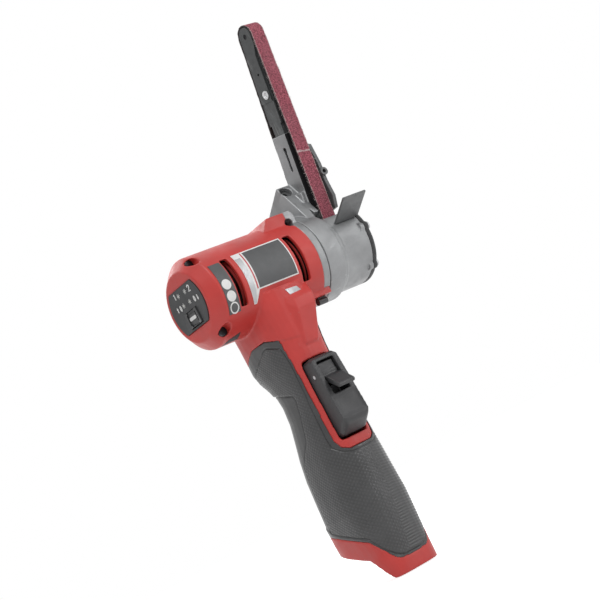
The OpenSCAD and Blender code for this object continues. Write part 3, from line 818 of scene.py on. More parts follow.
def rounded(piece: bpy.types.Object, voxel: float, rounds: int, keep: float) -> bpy.types.Object:
    """Round the edges of a closed piece.

    Args:
        piece: The piece.
        voxel: Grain of its new mesh in millimetres.
        rounds: Passes of smoothing, which set the edge radius.
        keep: Share of the faces that stay.

    Returns:
        The piece.
    """
    grid = piece.modifiers.new("grid", "REMESH")
    grid.mode = "VOXEL"
    grid.voxel_size = voxel * MM * 1.0
    round_off = piece.modifiers.new("round", "SMOOTH")
    round_off.factor = 0.5
    round_off.iterations = rounds
    if keep < 1.0:
        thin = piece.modifiers.new("thin", "DECIMATE")
        thin.ratio = keep
    baked(piece)
    piece.data.shade_smooth()
    return piece


def bevelled(name: str, node: str, material: bpy.types.Material, width: float,
             steps: int = 2) -> bpy.types.Object:
    """Copy a CAD node as a machined piece with broken edges.

    Args:
        name: The new piece's name.
        node: The CAD node.
        material: Its material.
        width: Width of the broken edge in millimetres.
        steps: Rows of faces across the edge.

    Returns:
        The new piece.
    """
    bm = flattened(node)
    break_edges(bm, width, steps)
    return faced(piece_of(name, bm, material))


def break_edges(bm: bmesh.types.BMesh, width: float, steps: int) -> None:
    """Bevel every sharp edge of a closed bmesh.

    Args:
        bm: The bmesh.
        width: Width of the broken edge in millimetres.
        steps: Rows of faces across the edge.
    """
    sharp = [e for e in bm.edges if len(e.link_faces) == 2 and e.calc_face_angle(0.0) > SHARP]
    bevel(bm, sharp, width * MM, steps)


def machined(name: str, node: str, material: bpy.types.Material, width: float, body: str, slot: str,
             steps: int = 2) -> None:
    """Put a piece with broken edges in the place of a CAD node.

    Args:
        name: The new piece's name.
        node: The CAD node.
        material: Its material.
        width: Width of the broken edge in millimetres.
        body: The body that it moves with.
        slot: The record's slot of its finish.
        steps: Rows of faces across the edge.
    """
    settle(bevelled(name, node, material, width, steps), body, slot, node)


def headed(name: str, node: str, material: bpy.types.Material, axis: Vector,
           girth: float) -> bpy.types.Object:
    """Copy a CAD screw group with a drive recess in each head and broken edges.

    Args:
        name: The new piece's name.
        node: The CAD node.
        material: Its material.
        axis: Direction that the heads look to.
        girth: Radius of a head in millimetres.

    Returns:
        The new piece.
    """
    bm = flattened(node)
    area = math.pi * (girth * MM) ** 2
    tops = [f for f in bm.faces if f.normal.dot(axis) > 0.99 and f.calc_area() > 0.6 * area]
    bmesh.ops.inset_individual(bm, faces=tops, thickness=girth * HEAD_RIM * MM, depth=0.0)
    bmesh.ops.inset_individual(bm, faces=tops, thickness=girth * HEAD_SLOPE * MM,
                               depth=-girth * HEAD_SUNK * MM)
    break_edges(bm, girth * HEAD_EDGE, 2)
    return faced(piece_of(name, bm, material))


def faced(piece: bpy.types.Object) -> bpy.types.Object:
    """Shade a machined piece so that its flat faces stay flat between their broken edges.

    Args:
        piece: The piece.

    Returns:
        The piece.
    """
    shaded(piece, CREASE)
    even = piece.modifiers.new("even", "WEIGHTED_NORMAL")
    even.keep_sharp = True
    return baked(piece)


def dress(material: bpy.types.Material, *nodes: str) -> None:
    """Give CAD nodes that show as they are a finish.

    Args:
        material: The finish.
        nodes: The CAD nodes.
    """
    for node in nodes:
        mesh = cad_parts[node].data
        mesh.materials.clear()
        mesh.materials.append(material)
        LOG.info("%s is dressed as %s", node, material.name)


def laid(name: str, material: bpy.types.Material, carrier: bpy.types.Object, corners: Sequence[Vector],
         out: Vector, depth: float = 0.12) -> bpy.types.Object:
    """Lay a thin film on a piece.

    Args:
        name: The film's name.
        material: Its material.
        carrier: The piece that carries it.
        corners: Its four corners, against the clock seen from outside.
        out: Direction away from the carrier.
        depth: How far it stands proud, in millimetres.

    Returns:
        The film.
    """
    tree = BVHTree.FromObject(carrier, bpy.context.evaluated_depsgraph_get())
    bm = bmesh.new()
    bmesh.ops.create_grid(bm, x_segments=16, y_segments=10, size=0.5)
    for vert in bm.verts:
        low = corners[0].lerp(corners[1], vert.co.x + 0.5)
        high = corners[3].lerp(corners[2], vert.co.x + 0.5)
        spot = low.lerp(high, vert.co.y + 0.5)
        hit = tree.ray_cast(spot + FILM_REACH * out, -out)[0]
        vert.co = (spot if hit is None else hit) + depth * MM * out
    return shaded(thickened(piece_of(name, bm, material), depth + FILM_ROOT), CREASE)


@dataclass
class Studio:
    """Camera, lights and floor."""

    azimuth: float = 36.5
    elevation: float = -6.8
    roll: float = 27.3
    focal: float = 1550.0
    distance: float = 1550.0 / 1.8
    centre: Pair = (251.6, 283.3)
    picture: float = 600.0
    sensor: float = 36.0
    ambient: float = 0.4
    floor_half: float = 6.0
    floor_gap: float = 0.0005
    floor_glow: float = 0.75
    lamps: tuple[tuple[str, Place, float, float, float], ...] = (
        ("key", (-0.5, -0.8, 1.2), 0.8, 11.0, 1.0), ("fill", (1.0, -0.8, 0.5), 1.0, 2.2, 1.0),
        ("rim", (0.2, 1.1, 0.9), 0.9, 6.0, 1.0), ("strip", (0.72, -1.08, 0.17), 0.08, 2.0, 12.0))

    def axes(self) -> tuple[Vector, Vector, Vector]:
        """Work out the camera's right, up and backward directions.

        Returns:
            The three directions.
        """
        a, e, roll = (math.radians(v) for v in (self.azimuth, self.elevation, self.roll))
        back = Vector((-math.sin(a) * math.cos(e), -math.cos(a) * math.cos(e), math.sin(e)))
        level = Vector((math.cos(a), -math.sin(a), 0.0))
        upright = back.cross(level)
        right = math.cos(roll) * level - math.sin(roll) * upright
        up = math.sin(roll) * level + math.cos(roll) * upright
        return right, up, back

    def camera(self) -> None:
        """Place the camera where the picture was taken from."""
        right, up, back = self.axes()
        aside = (self.centre[0] - self.picture / 2) / self.focal * self.distance
        above = -(self.centre[1] - self.picture / 2) / self.focal * self.distance
        place = -aside * right - above * up + self.distance * back
        data = bpy.data.cameras.new("camera")
        data.sensor_width = self.sensor
        data.lens = self.focal / self.picture * self.sensor
        data.clip_start = 0.01
        data.clip_end = 50.0
        lens = bpy.data.objects.new("camera", data)
        bpy.context.scene.collection.objects.link(lens)
        lens.matrix_world = Matrix.Translation(at(*place)) @ Matrix((right, up, back)).transposed().to_4x4()
        bpy.context.scene.camera = lens

    def lamp(self, name: str, place: Vector, size: float, power: float, tall: float) -> None:
        """Hang a soft lamp that looks at the tool.

        Args:
            name: The lamp's name.
            place: Where it hangs, in metres from the tool's middle.
            size: Its width in metres.
            power: Its power in watts.
            tall: Its height in widths.
        """
        data = bpy.data.lights.new(name, "AREA")
        data.shape = "RECTANGLE"
        data.size = size
        data.size_y = size * tall
        data.energy = power
        lamp = bpy.data.objects.new(name, data)
        bpy.context.scene.collection.objects.link(lamp)
        lamp.location = place + at(0, 0, -20)
        lamp.rotation_mode = "QUATERNION"
        lamp.rotation_quaternion = (-place).to_track_quat("-Z", "Y")

    def seen(self, tree: bpy.types.NodeTree) -> bpy.types.NodeSocket:
        """Tell the camera's rays, and those off metal and through lenses, from the rest.

        Args:
            tree: The node tree that takes the nodes.

        Returns:
            One for those rays, nought for the rest.
        """
        path = tree.nodes.new("ShaderNodeLightPath")
        known = path.outputs["Is Camera Ray"]
        for ray in ("Is Glossy Ray", "Is Transmission Ray"):
            either = tree.nodes.new("ShaderNodeMath")
            either.operation = "MAXIMUM"
            tree.links.new(known, either.inputs[0])
            tree.links.new(path.outputs[ray], either.inputs[1])
            known = either.outputs["Value"]
        return known

    def backdrop(self) -> None:
        """Hang a white world that the camera, metal and lenses see brighter than the light it gives."""
        world = bpy.data.worlds.new("world")
        bpy.context.scene.world = world
        world.use_nodes = True
        nodes, links = world.node_tree.nodes, world.node_tree.links
        ground = nodes["Background"]
        ground.inputs["Color"].default_value = (1.0, 1.0, 1.0, 1.0)
        ground.inputs["Strength"].default_value = self.ambient
        white = nodes.new("ShaderNodeBackground")
        white.inputs["Color"].default_value = (1.0, 1.0, 1.0, 1.0)
        white.inputs["Strength"].default_value = 1.0
        blend = nodes.new("ShaderNodeMixShader")
        links.new(self.seen(world.node_tree), blend.inputs["Fac"])
        links.new(ground.outputs["Background"], blend.inputs[1])
        links.new(white.outputs["Background"], blend.inputs[2])
        links.new(blend.outputs["Shader"], nodes["World Output"].inputs["Surface"])

    def floor(self) -> None:
        """Lay a pale floor just under the foot."""
        bm = bmesh.new()
        bmesh.ops.create_grid(bm, x_segments=1, y_segments=1, size=self.floor_half)
        bmesh.ops.translate(bm, verts=bm.verts, vec=(0.0, 0.0, CAD_BOX[0].z - self.floor_gap))
        graph = Graph("floor_white").set(Roughness=0.9, Base_Color=(0.8, 0.8, 0.8, 1.0))
        graph.set(Emission_Color=(1.0, 1.0, 1.0, 1.0))
        seen = self.seen(graph.material.node_tree)
        graph.join(graph.span(seen, 0.0, 1.0, 0.0, self.floor_glow), "Emission Strength")
        piece_of("floor", bm, graph.material)

    def build(self) -> None:
        """Set up the camera, the backdrop, the floor and the lamps."""
        bpy.context.scene.view_settings.view_transform = "Standard"
        self.camera()
        self.backdrop()
        self.floor()
        for name, place, size, power, tall in self.lamps:
            self.lamp(name, Vector(place), size, power, tall)


@dataclass
class Housing:
    """Red clamshell halves of the barrel and the handle, with the films on them."""

    grain: float = 0.5
    rounds: int = 4
    keep: float = 0.5
    lap: float = 0.4
    slots: tuple[Pair, ...] = ((-22.6, -20.0), (21.8, 24.2))
    baffle: Pair = (20.4, 21.4)
    baffle_half: float = 0.68
    gate_half: float = 9.7
    gate_ends: Pair = (-100.9, -53.9)
    gate_r: float = 2.8
    gate_d: float = 1.8
    gate_out: float = -60.0
    crease: float = math.radians(60)
    shelf: tuple[Place, ...] = (
        (0.9, -26.2, -18.0), (9.8, -25.2, -17.4), (7.6, -25.8, -14.8), (-0.9, -26.4, -14.5))
    belly: tuple[Place, ...] = (
        (-37.0, -0.6, -26.2), (-27.4, -3.2, -26.1), (-28.2, -10.1, -24.3), (-35.4, -6.8, -25.4))
    belly_out: Place = (0.0, -0.25, -0.97)

    def whole(self, paints: Paints) -> bpy.types.Object:
        """Make one rounded skin of both halves, so that they meet without a gap.

        Args:
            paints: The tool's finishes.

        Returns:
            The skin.
        """
        bm = merged("front_housing")
        for vert in bm.verts:
            if abs(vert.co.y) < 1e-6:
                vert.co.y = self.lap * MM
        bm.from_mesh(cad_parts["rear_housing"].data)
        bmesh.ops.remove_doubles(bm, verts=bm.verts, dist=WELD)
        self.webs(bm)
        return rounded(piece_of("shell_skin", bm, paints.red), self.grain, self.rounds, self.keep)

    def webs(self, bm: bmesh.types.BMesh) -> None:
        """Round the corners of the paddle's opening.

        Args:
            bm: The shell, which gets a small web in each corner.
        """
        tree = BVHTree.FromBMesh(bm)
        turns = [step * math.pi / 12 for step in range(7)]
        arc = [(self.gate_r * (1 - math.sin(a)), self.gate_r * (1 - math.cos(a))) for a in turns]
        outline = [(-self.lap, -self.lap), (self.gate_r, -self.lap)] + arc + [(-self.lap, self.gate_r)]
        made = []
        for side in (-1, 1):
            for end, way in zip(self.gate_ends, (1, -1)):
                ring = []
                for u, w in outline:
                    start = at(side * (self.gate_half + 2 * self.lap), self.gate_out, end + way * w)
                    level = tree.ray_cast(start, Vector((0.0, 1.0, 0.0)))[0]
                    ring.append(bm.verts.new((side * (self.gate_half - u) * MM, level.y, start.z)))
                face = bm.faces.new(ring)
                back = bmesh.ops.extrude_face_region(bm, geom=[face], use_keep_orig=True)["geom"]
                moved = picked(back, bmesh.types.BMVert)
                bmesh.ops.translate(bm, verts=moved, vec=(0.0, self.gate_d * MM, 0.0))
                made += {f for v in ring + moved for f in v.link_faces}
        bmesh.ops.recalc_face_normals(bm, faces=made)

    def half(self, name: str, skin: bpy.types.Object, side: float) -> bpy.types.Object:
        """Cut one half out of the skin and close the cut.

        Args:
            name: The half's name.
            skin: The whole skin.
            side: Minus one for the front, one for the back.

        Returns:
            The half.
        """
        bm = bmesh.new()
        bm.from_mesh(skin.data)
        rim = sliced(bm, Vector((0, 0, 0)), (0, side, 0), True)
        bmesh.ops.triangle_fill(bm, use_beauty=True, edges=rim, normal=(0, -side, 0))
        return shaded(piece_of(name, bm, skin.data.materials[0]), self.crease)

    def baffles(self) -> bmesh.types.BMesh:
        """Make the ribs that stand behind the cooling slots, front and back.

        Returns:
            The ribs.
        """
        bm = bmesh.new()
        for left, right in self.slots:
            for side in (-1, 1):
                low = -self.baffle_half
                corners = [(x, r) for x in (left, right) for r in self.baffle]
                ring = [bm.verts.new(at(x, side * r * math.cos(low), r * math.sin(low))) for x, r in corners]
                face = bm.faces.new((ring[0], ring[1], ring[3], ring[2]))
                bmesh.ops.spin(bm, geom=[face], cent=at(0, 0, 0), axis=(side, 0, 0),
                               angle=2 * self.baffle_half, steps=18, use_merge=False, use_duplicate=False)
        bmesh.ops.recalc_face_normals(bm, faces=bm.faces)
        return bm

    def build(self, paints: Paints) -> None:
        """Make both halves, dress the screws and lay two blank films.

        Args:
            paints: The tool's finishes.
        """
        skin = self.whole(paints)
        front = settle(self.half("front_shell", skin, -1.0), "base", "shell_red", "front_housing")
        settle(self.half("rear_shell", skin, 1.0), "base", "shell_red", "rear_housing")
        bpy.data.objects.remove(skin)
        settle(piece_of("slot_ribs", self.baffles(), paints.red), "base", "shell_red")
        # Black oxide screws, whose dark also stands in for painted shade at the bottom of their deep recesses
        dress(paints.oxide, "housing_screws")
        shelf = [at(*corner) for corner in self.shelf]
        settle(laid("shelf_film", paints.foil, front, shelf, Vector((0.0, -1.0, 0.0))), "base", "label_film")
        belly = [at(*corner) for corner in self.belly]
        below = Vector(self.belly_out).normalized()
        settle(laid("belly_film", paints.panel, front, belly, below), "base", "label_film")


@dataclass
class Labels:
    """Blank label plates on the barrel."""

    radius: float = 26.55
    depth: float = 0.25
    lift: float = 0.06
    discs: tuple[Place, ...] = ((-33.5, -0.2, 0.3), (-33.3, -6.9, 0.3), (-33.2, -13.0, 2.2))
    disc_r: float = 2.9
    pinhole: float = 0.5
    body: Sheet = ((-20.3, 13.6, -9.0), (-20.3, 13.6, 14.1))
    tail: Sheet = ((-19.9, -18.2, -15.2), (-20.3, -14.6, -9.0))
    main_field: Sheet = ((-14.2, 12.9, -8.3), (-13.2, 12.9, 13.4))
    strip_field: Sheet = ((-20.1, -17.0, -8.9), (-20.1, -16.4, 11.0))
    tail_field: Sheet = ((-19.7, -18.5, -15.0), (-20.1, -17.0, -8.9))
    line_field: Sheet = ((-15.8, -15.0, -8.3), (-15.0, -14.2, 13.6))

    def on_barrel(self, x: float, z: float, lift: float) -> Vector:
        """Find the place on the front of the plates at one height.

        Args:
            x: Along the motor axis, in millimetres.
            z: Height above the motor axis.
            lift: How far it stands proud of the plates.

        Returns:
            The place.
        """
        r = self.radius + lift
        return at(x, -math.sqrt(r * r - z * z), z)

    def sheet(self, bm: bmesh.types.BMesh, low: Sequence[float], high: Sequence[float], lift: float) -> None:
        """Bend one sheet around the barrel.

        Args:
            bm: The bmesh that takes it.
            low: Left end, right end and height of its lower edge.
            high: Left end, right end and height of its upper edge.
            lift: How far it stands proud of the plates.
        """
        grid = bmesh.ops.create_grid(bm, x_segments=8, y_segments=24, size=0.5)["verts"]
        for vert in grid:
            t = vert.co.y + 0.5
            left, right, level = (a + t * (b - a) for a, b in zip(low, high))
            vert.co = self.on_barrel(left + (vert.co.x + 0.5) * (right - left), level, lift)

    def field(self, name: str, material: bpy.types.Material, low: Sequence[float],
              high: Sequence[float]) -> None:
        """Lay one printed field on a plate.

        Args:
            name: The field's name.
            material: Its ink.
            low: Left end, right end and height of its lower edge.
            high: Left end, right end and height of its upper edge.
        """
        bm = bmesh.new()
        self.sheet(bm, low, high, self.lift)
        settle(thickened(piece_of(name, bm, material), self.lift), "base", "label_film")

    def plate(self, paints: Paints) -> None:
        """Make the wide plate with its slim tail.

        Args:
            paints: The tool's finishes.
        """
        bm = bmesh.new()
        self.sheet(bm, *self.body, 0.0)
        self.sheet(bm, *self.tail, 0.0)
        plate = thickened(piece_of("label_plate", bm, paints.ink_white), self.depth)
        settle(plate, "base", "label_film", "wide_label")

    def disc(self, name: str, material: bpy.types.Material, middle: Pair, hole: float) -> None:
        """Lay a round printed field on a plate.

        Args:
            name: The disc's name.
            material: Its ink.
            middle: Its middle along and above the motor axis.
            hole: Radius of its hole, or a small one for a full disc.
        """
        bm = bmesh.new()
        rim = bmesh.ops.create_circle(bm, cap_ends=False, segments=40, radius=self.disc_r)["verts"]
        edges = {e for v in rim for e in v.link_edges}
        for scale in (1 - (1 - hole / self.disc_r) / 2, hole / self.disc_r):
            verts, edges = grown(bm, edges)
            for vert in verts:
                vert.co = vert.co.normalized() * self.disc_r * scale
        if hole < self.pinhole:
            bmesh.ops.holes_fill(bm, edges=edges, sides=0)
        for vert in bm.verts:
            vert.co = self.on_barrel(middle[0] + vert.co.x, middle[1] + vert.co.y, self.lift)
        facing_out(bm, Vector((0, -1, 0)))
        settle(thickened(piece_of(name, bm, material), self.lift), "base", "label_film")

    def build(self, paints: Paints) -> None:
        """Dress the plates and print their blank fields.

        Args:
            paints: The tool's finishes.
        """
        self.plate(paints)
        dress(paints.ink_grey, "narrow_label")
        self.field("label_main", paints.ink_grey, *self.main_field)
        self.field("label_strip", paints.foil, *self.strip_field)
        self.field("label_tail", paints.foil, *self.tail_field)
        self.field("label_line", paints.ink_red, *self.line_field)
        for index, (x, z, hole) in enumerate(self.discs):
            self.disc(f"label_disc_{index}", paints.ink_white, (x, z), hole)


@dataclass
class Grip:
    """Rubber sleeve of the handle."""

    grain: float = 0.42
    rounds: int = 3
    keep: float = 0.45
    girth: float = 0.019
    middle: Pair = (0.0, -0.004)
    rib: float = 0.00024
    dot: float = 0.00014
    sink: float = 0.0004
    front_y: float = -10.0
    front_x: float = 5.4
    front_z: float = -109.0
    front_slope: float = 0.126
    field: tuple[Pair, ...] = (
        (50, -58), (14, -46.6), (6.4, -43.6), (-6.3, -38.2), (-9, -38), (-16.4, -41.9), (-16.9, -51.8),
        (-16.4, -60), (-15.6, -76.8), (-16.5, -96.6), (-17.3, -101.9), (-20.8, -106.2), (-23, -108.2),
        (-26, -109.6), (-50, -109.6), (-50, -169.6), (-21.4, -169), (-19.6, -164.6), (-13.8, -154.1),
        (-11.6, -152.4), (13, -143), (14, -141.6), (13.1, -139.8), (12.8, -127.6), (10.1, -104),
        (-1, -93.6), (-2.6, -91.4), (-8, -70.5), (-7.3, -67.6), (6.9, -63.1), (50, -58.4))

    def reach(self, y: numpy.ndarray, z: numpy.ndarray) -> numpy.ndarray:
        """Measure how far places lie inside the textured field, minus outside.

        Args:
            y: Their places to the back, in millimetres.
            z: Their heights above the motor axis.

        Returns:
            The distances to the field's line.
        """
        near = numpy.full(y.shape, 1e9)
        odd = numpy.zeros(y.shape, dtype=bool)
        for (y0, z0), (y1, z1) in zip(self.field, (*self.field[1:], self.field[0])):
            dy, dz = y1 - y0, z1 - z0
            t = numpy.clip(((y - y0) * dy + (z - z0) * dz) / (dy * dy + dz * dz), 0.0, 1.0)
            near = numpy.minimum(near, numpy.hypot(y - y0 - t * dy, z - z0 - t * dz))
            if dz:
                odd ^= ((z0 > z) != (z1 > z)) & (y < dy * (z - z0) / dz + y0)
        return numpy.where(odd, near, -near)

    def spots(self, mesh: bpy.types.Mesh) -> numpy.ndarray:
        """Read the places of a mesh's points.

        Args:
            mesh: The mesh.

        Returns:
            One row of x, y and z for each point.
        """
        flat = numpy.empty(3 * len(mesh.vertices), dtype=numpy.float32)
        mesh.vertices.foreach_get("co", flat)
        return flat.reshape(-1, 3)

    def survey(self, mesh: bpy.types.Mesh) -> dict[str, numpy.ndarray]:
        """Work out where each point of the sleeve lies in the field and around the handle.

        Args:
            mesh: The sleeve's mesh.

        Returns:
            Its way into the field, its way around the handle and whether it is on the ribs.
        """
        x, y, z = (self.spots(mesh) / MM - (0.0, 0.0, AXIS_HEIGHT)).T
        edge = self.front_x + (z - self.front_z) * self.front_slope
        return {"reach": self.reach(y, z) * MM, "around": numpy.arctan2(x, -y) * self.girth,
                "front": ((y < self.front_y) & (x > edge)).astype(float)}

    def carve(self, piece: bpy.types.Object) -> None:
        """Sink the field's line and the gaps between its ribs and dots into the skin.

        Args:
            piece: The sleeve, whose plain parts then get fewer faces.
        """
        mesh = piece.data
        places, known = self.spots(mesh), self.survey(mesh)
        out = numpy.empty(3 * len(mesh.vertices), dtype=numpy.float32)
        mesh.vertex_normals.foreach_get("vector", out)
        out = out.reshape(-1, 3)
        climb, about, turn = places[:, 2], known["around"], math.pi / GRIP_PITCH
        rows = numpy.sin(climb * turn) ** 2
        weave = turn * GRIP_WEAVE
        dots = (numpy.sin((climb + about) * weave) * numpy.sin((climb - about) * weave)) ** 2
        gaps = numpy.where(known["front"] > 0.5, self.rib * (1 - rows), self.dot * (1 - dots))
        within = numpy.clip(known["reach"] / GRIP_LINE - 1, 0.0, 1.0)
        line = numpy.clip((GRIP_LINE - abs(known["reach"])) / (GRIP_LINE * 0.6), 0.0, 1.0)
        away = places[:, :2] - self.middle
        outer = (out[:, :2] * away).sum(axis=1) > 0.4 * numpy.hypot(*away.T)
        depth = numpy.where(outer, gaps * within + self.sink * line, 0.0)
        mesh.vertices.foreach_set("co", (places - out * depth[:, None]).astype(numpy.float32).ravel())
        plain = piece.vertex_groups.new(name="plain")
        plain.add(numpy.flatnonzero(~outer | (known["reach"] < -2 * GRIP_LINE)).tolist(), 1.0, "REPLACE")
        thin = piece.modifiers.new("thin", "DECIMATE")
        thin.ratio = self.keep
        thin.vertex_group = plain.name
        baked(piece)

    def build(self, paints: Paints) -> None:
        """Make the sleeve and tell its points where they lie.

        Args:
            paints: The tool's finishes.
        """
        piece = softened("grip_skin", "grip_sleeve", paints.rubber, self.grain, self.rounds)
        self.carve(piece)
        piece.data.shade_smooth()
        for name, value in self.survey(piece.data).items():
            layer = piece.data.attributes.new(name, "FLOAT", "POINT")
            layer.data.foreach_set("value", value.astype(numpy.float32))
        settle(piece, "base", "grip_rubber", "grip_sleeve")


@dataclass
class Controls:
    """Panel with its button and lamps, and the paddle with its lock lever."""

    face_x: float = -44.7
    cap_x: float = -45.6
    ink: float = 0.06
    stroke: float = 0.74
    button_y: float = -1.2
    button_edge: float = 0.25
    well: float = 4.1
    well_d: float = 0.5
    bar_size: Place = (0.4, 7.2, 1.9)
    bar_place: Pair = (0.4, -6.2)
    bar_r: float = 0.9
    lever_grain: float = 0.22
    lever_rounds: int = 8
    pad_grain: float = 0.3
    pad_rounds: int = 26
    pad_keep: float = 0.5
    pad_area: float = 10.0
    pad_z: float = -77.8
    pad_rim: float = 1.9
    pad_d: float = 0.6
    pad_half: float = 9.3
    pad_foot: tuple[tuple[float, ...], ...] = ((-31.6, -31.2, -30.2, -23.4, -20.0),
                                               (-91.5, -93.4, -94.6, -99.4, -99.9))
    pad_head: tuple[tuple[float, ...], ...] = ((-28.2, -26.0, -18.0), (-56.0, -54.5, -55.2))
    pad_foot_r: float = 3.2
    pad_head_r: float = 2.4
    lamps: tuple[Pair, ...] = ((3.6, 8.5), (-4.3, 8.4), (2.9, 2.4), (-4.4, 2.2))
    one: tuple[Pair, ...] = ((-0.75, 1.0), (0.1, 1.65), (0.1, -1.65))
    two: tuple[Pair, ...] = (
        (-1.0, 0.8), (-0.75, 1.4), (-0.1, 1.7), (0.6, 1.5), (0.95, 0.95), (0.8, 0.3), (-1.0, -1.6),
        (1.1, -1.6))
    one_at: Pair = (7.2, 9.3)
    two_at: Pair = (-9.2, 8.5)
    shaft: tuple[Pair, ...] = ((0.0, -1.4), (0.0, 0.3))
    point: tuple[Pair, ...] = ((0.0, 0.3), (0.0, 1.7))
    point_w: Pair = (1.7, 0.1)
    arrows: tuple[Place, ...] = ((10.1, 2.3, 1.0), (-13.3, 1.6, -1.0))
    ovals: tuple[Pair, ...] = ((6.6, 2.2), (-9.9, 1.9))
    oval_half: Pair = (0.95, 1.7)
    rays: int = 8
    ray: Pair = (1.0, 1.5)
    ray_w: float = 0.2

    def ribbon(self, bm: bmesh.types.BMesh, line: Sequence[Pair], middle: Pair,
               start: float, end: float) -> None:
        """Draw a flat stroke on the panel.

        Args:
            bm: The bmesh that takes it.
            line: Its path, to the right and up, in millimetres.
            middle: Where the path's origin lies on the panel.
            start: Its width at the start.
            end: Its width at the end.
        """
        pair, edge = None, None
        for i, (u, v) in enumerate(line):
            before = line[max(i - 1, 0)]
            after = line[min(i + 1, len(line) - 1)]
            aside = Vector((before[1] - after[1], after[0] - before[0])).normalized()
            half = (start + (end - start) * i / (len(line) - 1)) / 2
            sides = [Vector((u, v)) + s * half * aside for s in (1, -1)]
            spots = [at(self.face_x - self.ink, middle[0] - s.x, middle[1] + s.y) for s in sides]
            if pair is None:
                pair = [bm.verts.new(spot) for spot in spots]
                edge = bm.edges.new(pair)
                continue
            verts, (edge,) = grown(bm, [edge])
            first = next(w for w in verts if any(e.other_vert(w) is pair[0] for e in w.link_edges))
            pair = [first, next(w for w in verts if w is not first)]
            for vert, spot in zip(pair, spots):
                vert.co = spot

    def oval(self, bm: bmesh.types.BMesh, middle: Pair) -> None:
        """Draw a flat ring that stands for the belt loop on the panel.

        Args:
            bm: The bmesh that takes it.
            middle: Its middle on the panel.
        """
        rim = bmesh.ops.create_circle(bm, cap_ends=False, segments=28, radius=1.0)["verts"]
        inner, _ = grown(bm, {e for v in rim for e in v.link_edges})
        for verts, less in ((rim, 0.0), (inner, self.stroke)):
            wide, tall = (half - less for half in self.oval_half)
            for vert in verts:
                side, level = middle[0] - wide * vert.co.x, middle[1] + tall * vert.co.y
                vert.co = at(self.face_x - self.ink, side, level)

    def marks(self) -> bmesh.types.BMesh:
        """Draw the panel's numbers, arrows, rings and lamp rays.

        Returns:
            The flat drawing.
        """
        bm = bmesh.new()
        self.ribbon(bm, self.one, self.one_at, self.stroke, self.stroke)
        self.ribbon(bm, self.two, self.two_at, self.stroke, self.stroke)
        for side, level, turn in self.arrows:
            shaft, point = ([(u, turn * v) for u, v in line] for line in (self.shaft, self.point))
            self.ribbon(bm, shaft, (side, level), self.stroke, self.stroke)
            self.ribbon(bm, point, (side, level), *self.point_w)
        for middle in self.ovals:
            self.oval(bm, middle)
        for lamp in self.lamps:
            for step in range(self.rays):
                turn = step * 2 * math.pi / self.rays
                line = [(r * math.cos(turn), r * math.sin(turn)) for r in self.ray]
                self.ribbon(bm, line, lamp, self.ray_w, self.ray_w)
        facing_out(bm, Vector((-1, 0, 0)))
        return bm

    def cap(self, paints: Paints) -> bpy.types.Object:
        """Make the button with a sunk middle between two raised ends.

        Args:
            paints: The tool's finishes.

        Returns:
            The button.
        """
        bm = flattened("mode_button")
        for side in (-1, 1):
            sliced(bm, at(0.0, self.button_y + side * self.well, 0.0), (0, 1, 0))
        middle = []
        for face in bm.faces:
            spot = face.calc_center_median() / MM
            within = abs(spot.y - self.button_y) < self.well
            if face.normal.x < -0.9 and spot.x < self.cap_x + 0.2 and within:
                middle.append(face)
        bmesh.ops.inset_individual(bm, faces=middle, thickness=0.08 * MM, depth=-self.well_d * MM)
        break_edges(bm, self.button_edge, 3)
        return faced(piece_of("button_cap", bm, paints.black))

    def pad(self, paints: Paints) -> bpy.types.Object:
        """Make the paddle with a sunk face and a low rim below its lever.

        Args:
            paints: The tool's finishes.

        Returns:
            The paddle.
        """
        bm = flattened("paddle")
        level = at(0.0, 0.0, self.pad_z)
        sliced(bm, level, (0, 0, 1))
        face = [f for f in bm.faces if f.normal.y < -0.985 and f.calc_area() > self.pad_area * MM * MM
                and f.calc_center_bounds().z < level.z]
        bmesh.ops.inset_region(bm, faces=face, use_boundary=True, use_even_offset=True,
                               thickness=self.pad_rim * MM, depth=-self.pad_d * MM)
        piece = piece_of("paddle_body", bm, paints.control)
        rounded(piece, self.pad_grain, self.pad_rounds, self.pad_keep)
        self.turn_corners(piece)
        return piece

    def turn_corners(self, piece: bpy.types.Object) -> None:
        """Round the paddle's four corners as they are seen from the front.

        Args:
            piece: The paddle.
        """
        ends = ((self.pad_foot, self.pad_foot_r, 1.0), (self.pad_head, self.pad_head_r, -1.0))
        for vert in piece.data.vertices:
            x, y, z = vert.co.x / MM, vert.co.y / MM, vert.co.z / MM - AXIS_HEIGHT
            for edge, radius, way in ends:
                middle = float(numpy.interp(y, *edge)) + way * radius
                out = abs(x) - self.pad_half + radius
                drop = (middle - z) * way
                if out > 0.0 and drop > 0.0 and math.hypot(out, drop) > radius:
                    share = radius / math.hypot(out, drop)
                    vert.co.x = math.copysign(self.pad_half - radius + out * share, x) * MM
                    vert.co.z = (middle - way * drop * share + AXIS_HEIGHT) * MM

    def bar(self) -> bmesh.types.BMesh:
        """Make the pale bar on the button.

        Returns:
            The bar.
        """
        bm = bmesh.new()
        bmesh.ops.create_cube(bm, size=1.0)
        bmesh.ops.scale(bm, verts=bm.verts, vec=Vector(self.bar_size) * MM)
        spot = at(self.cap_x + self.well_d, self.button_y + self.bar_place[0], self.bar_place[1])
        bmesh.ops.translate(bm, verts=bm.verts, vec=spot)
        upright = [e for e in bm.edges if abs((e.verts[0].co - e.verts[1].co).x) > 0.1 * MM]
        bevel(bm, upright, self.bar_r * MM, 4)
        return bm

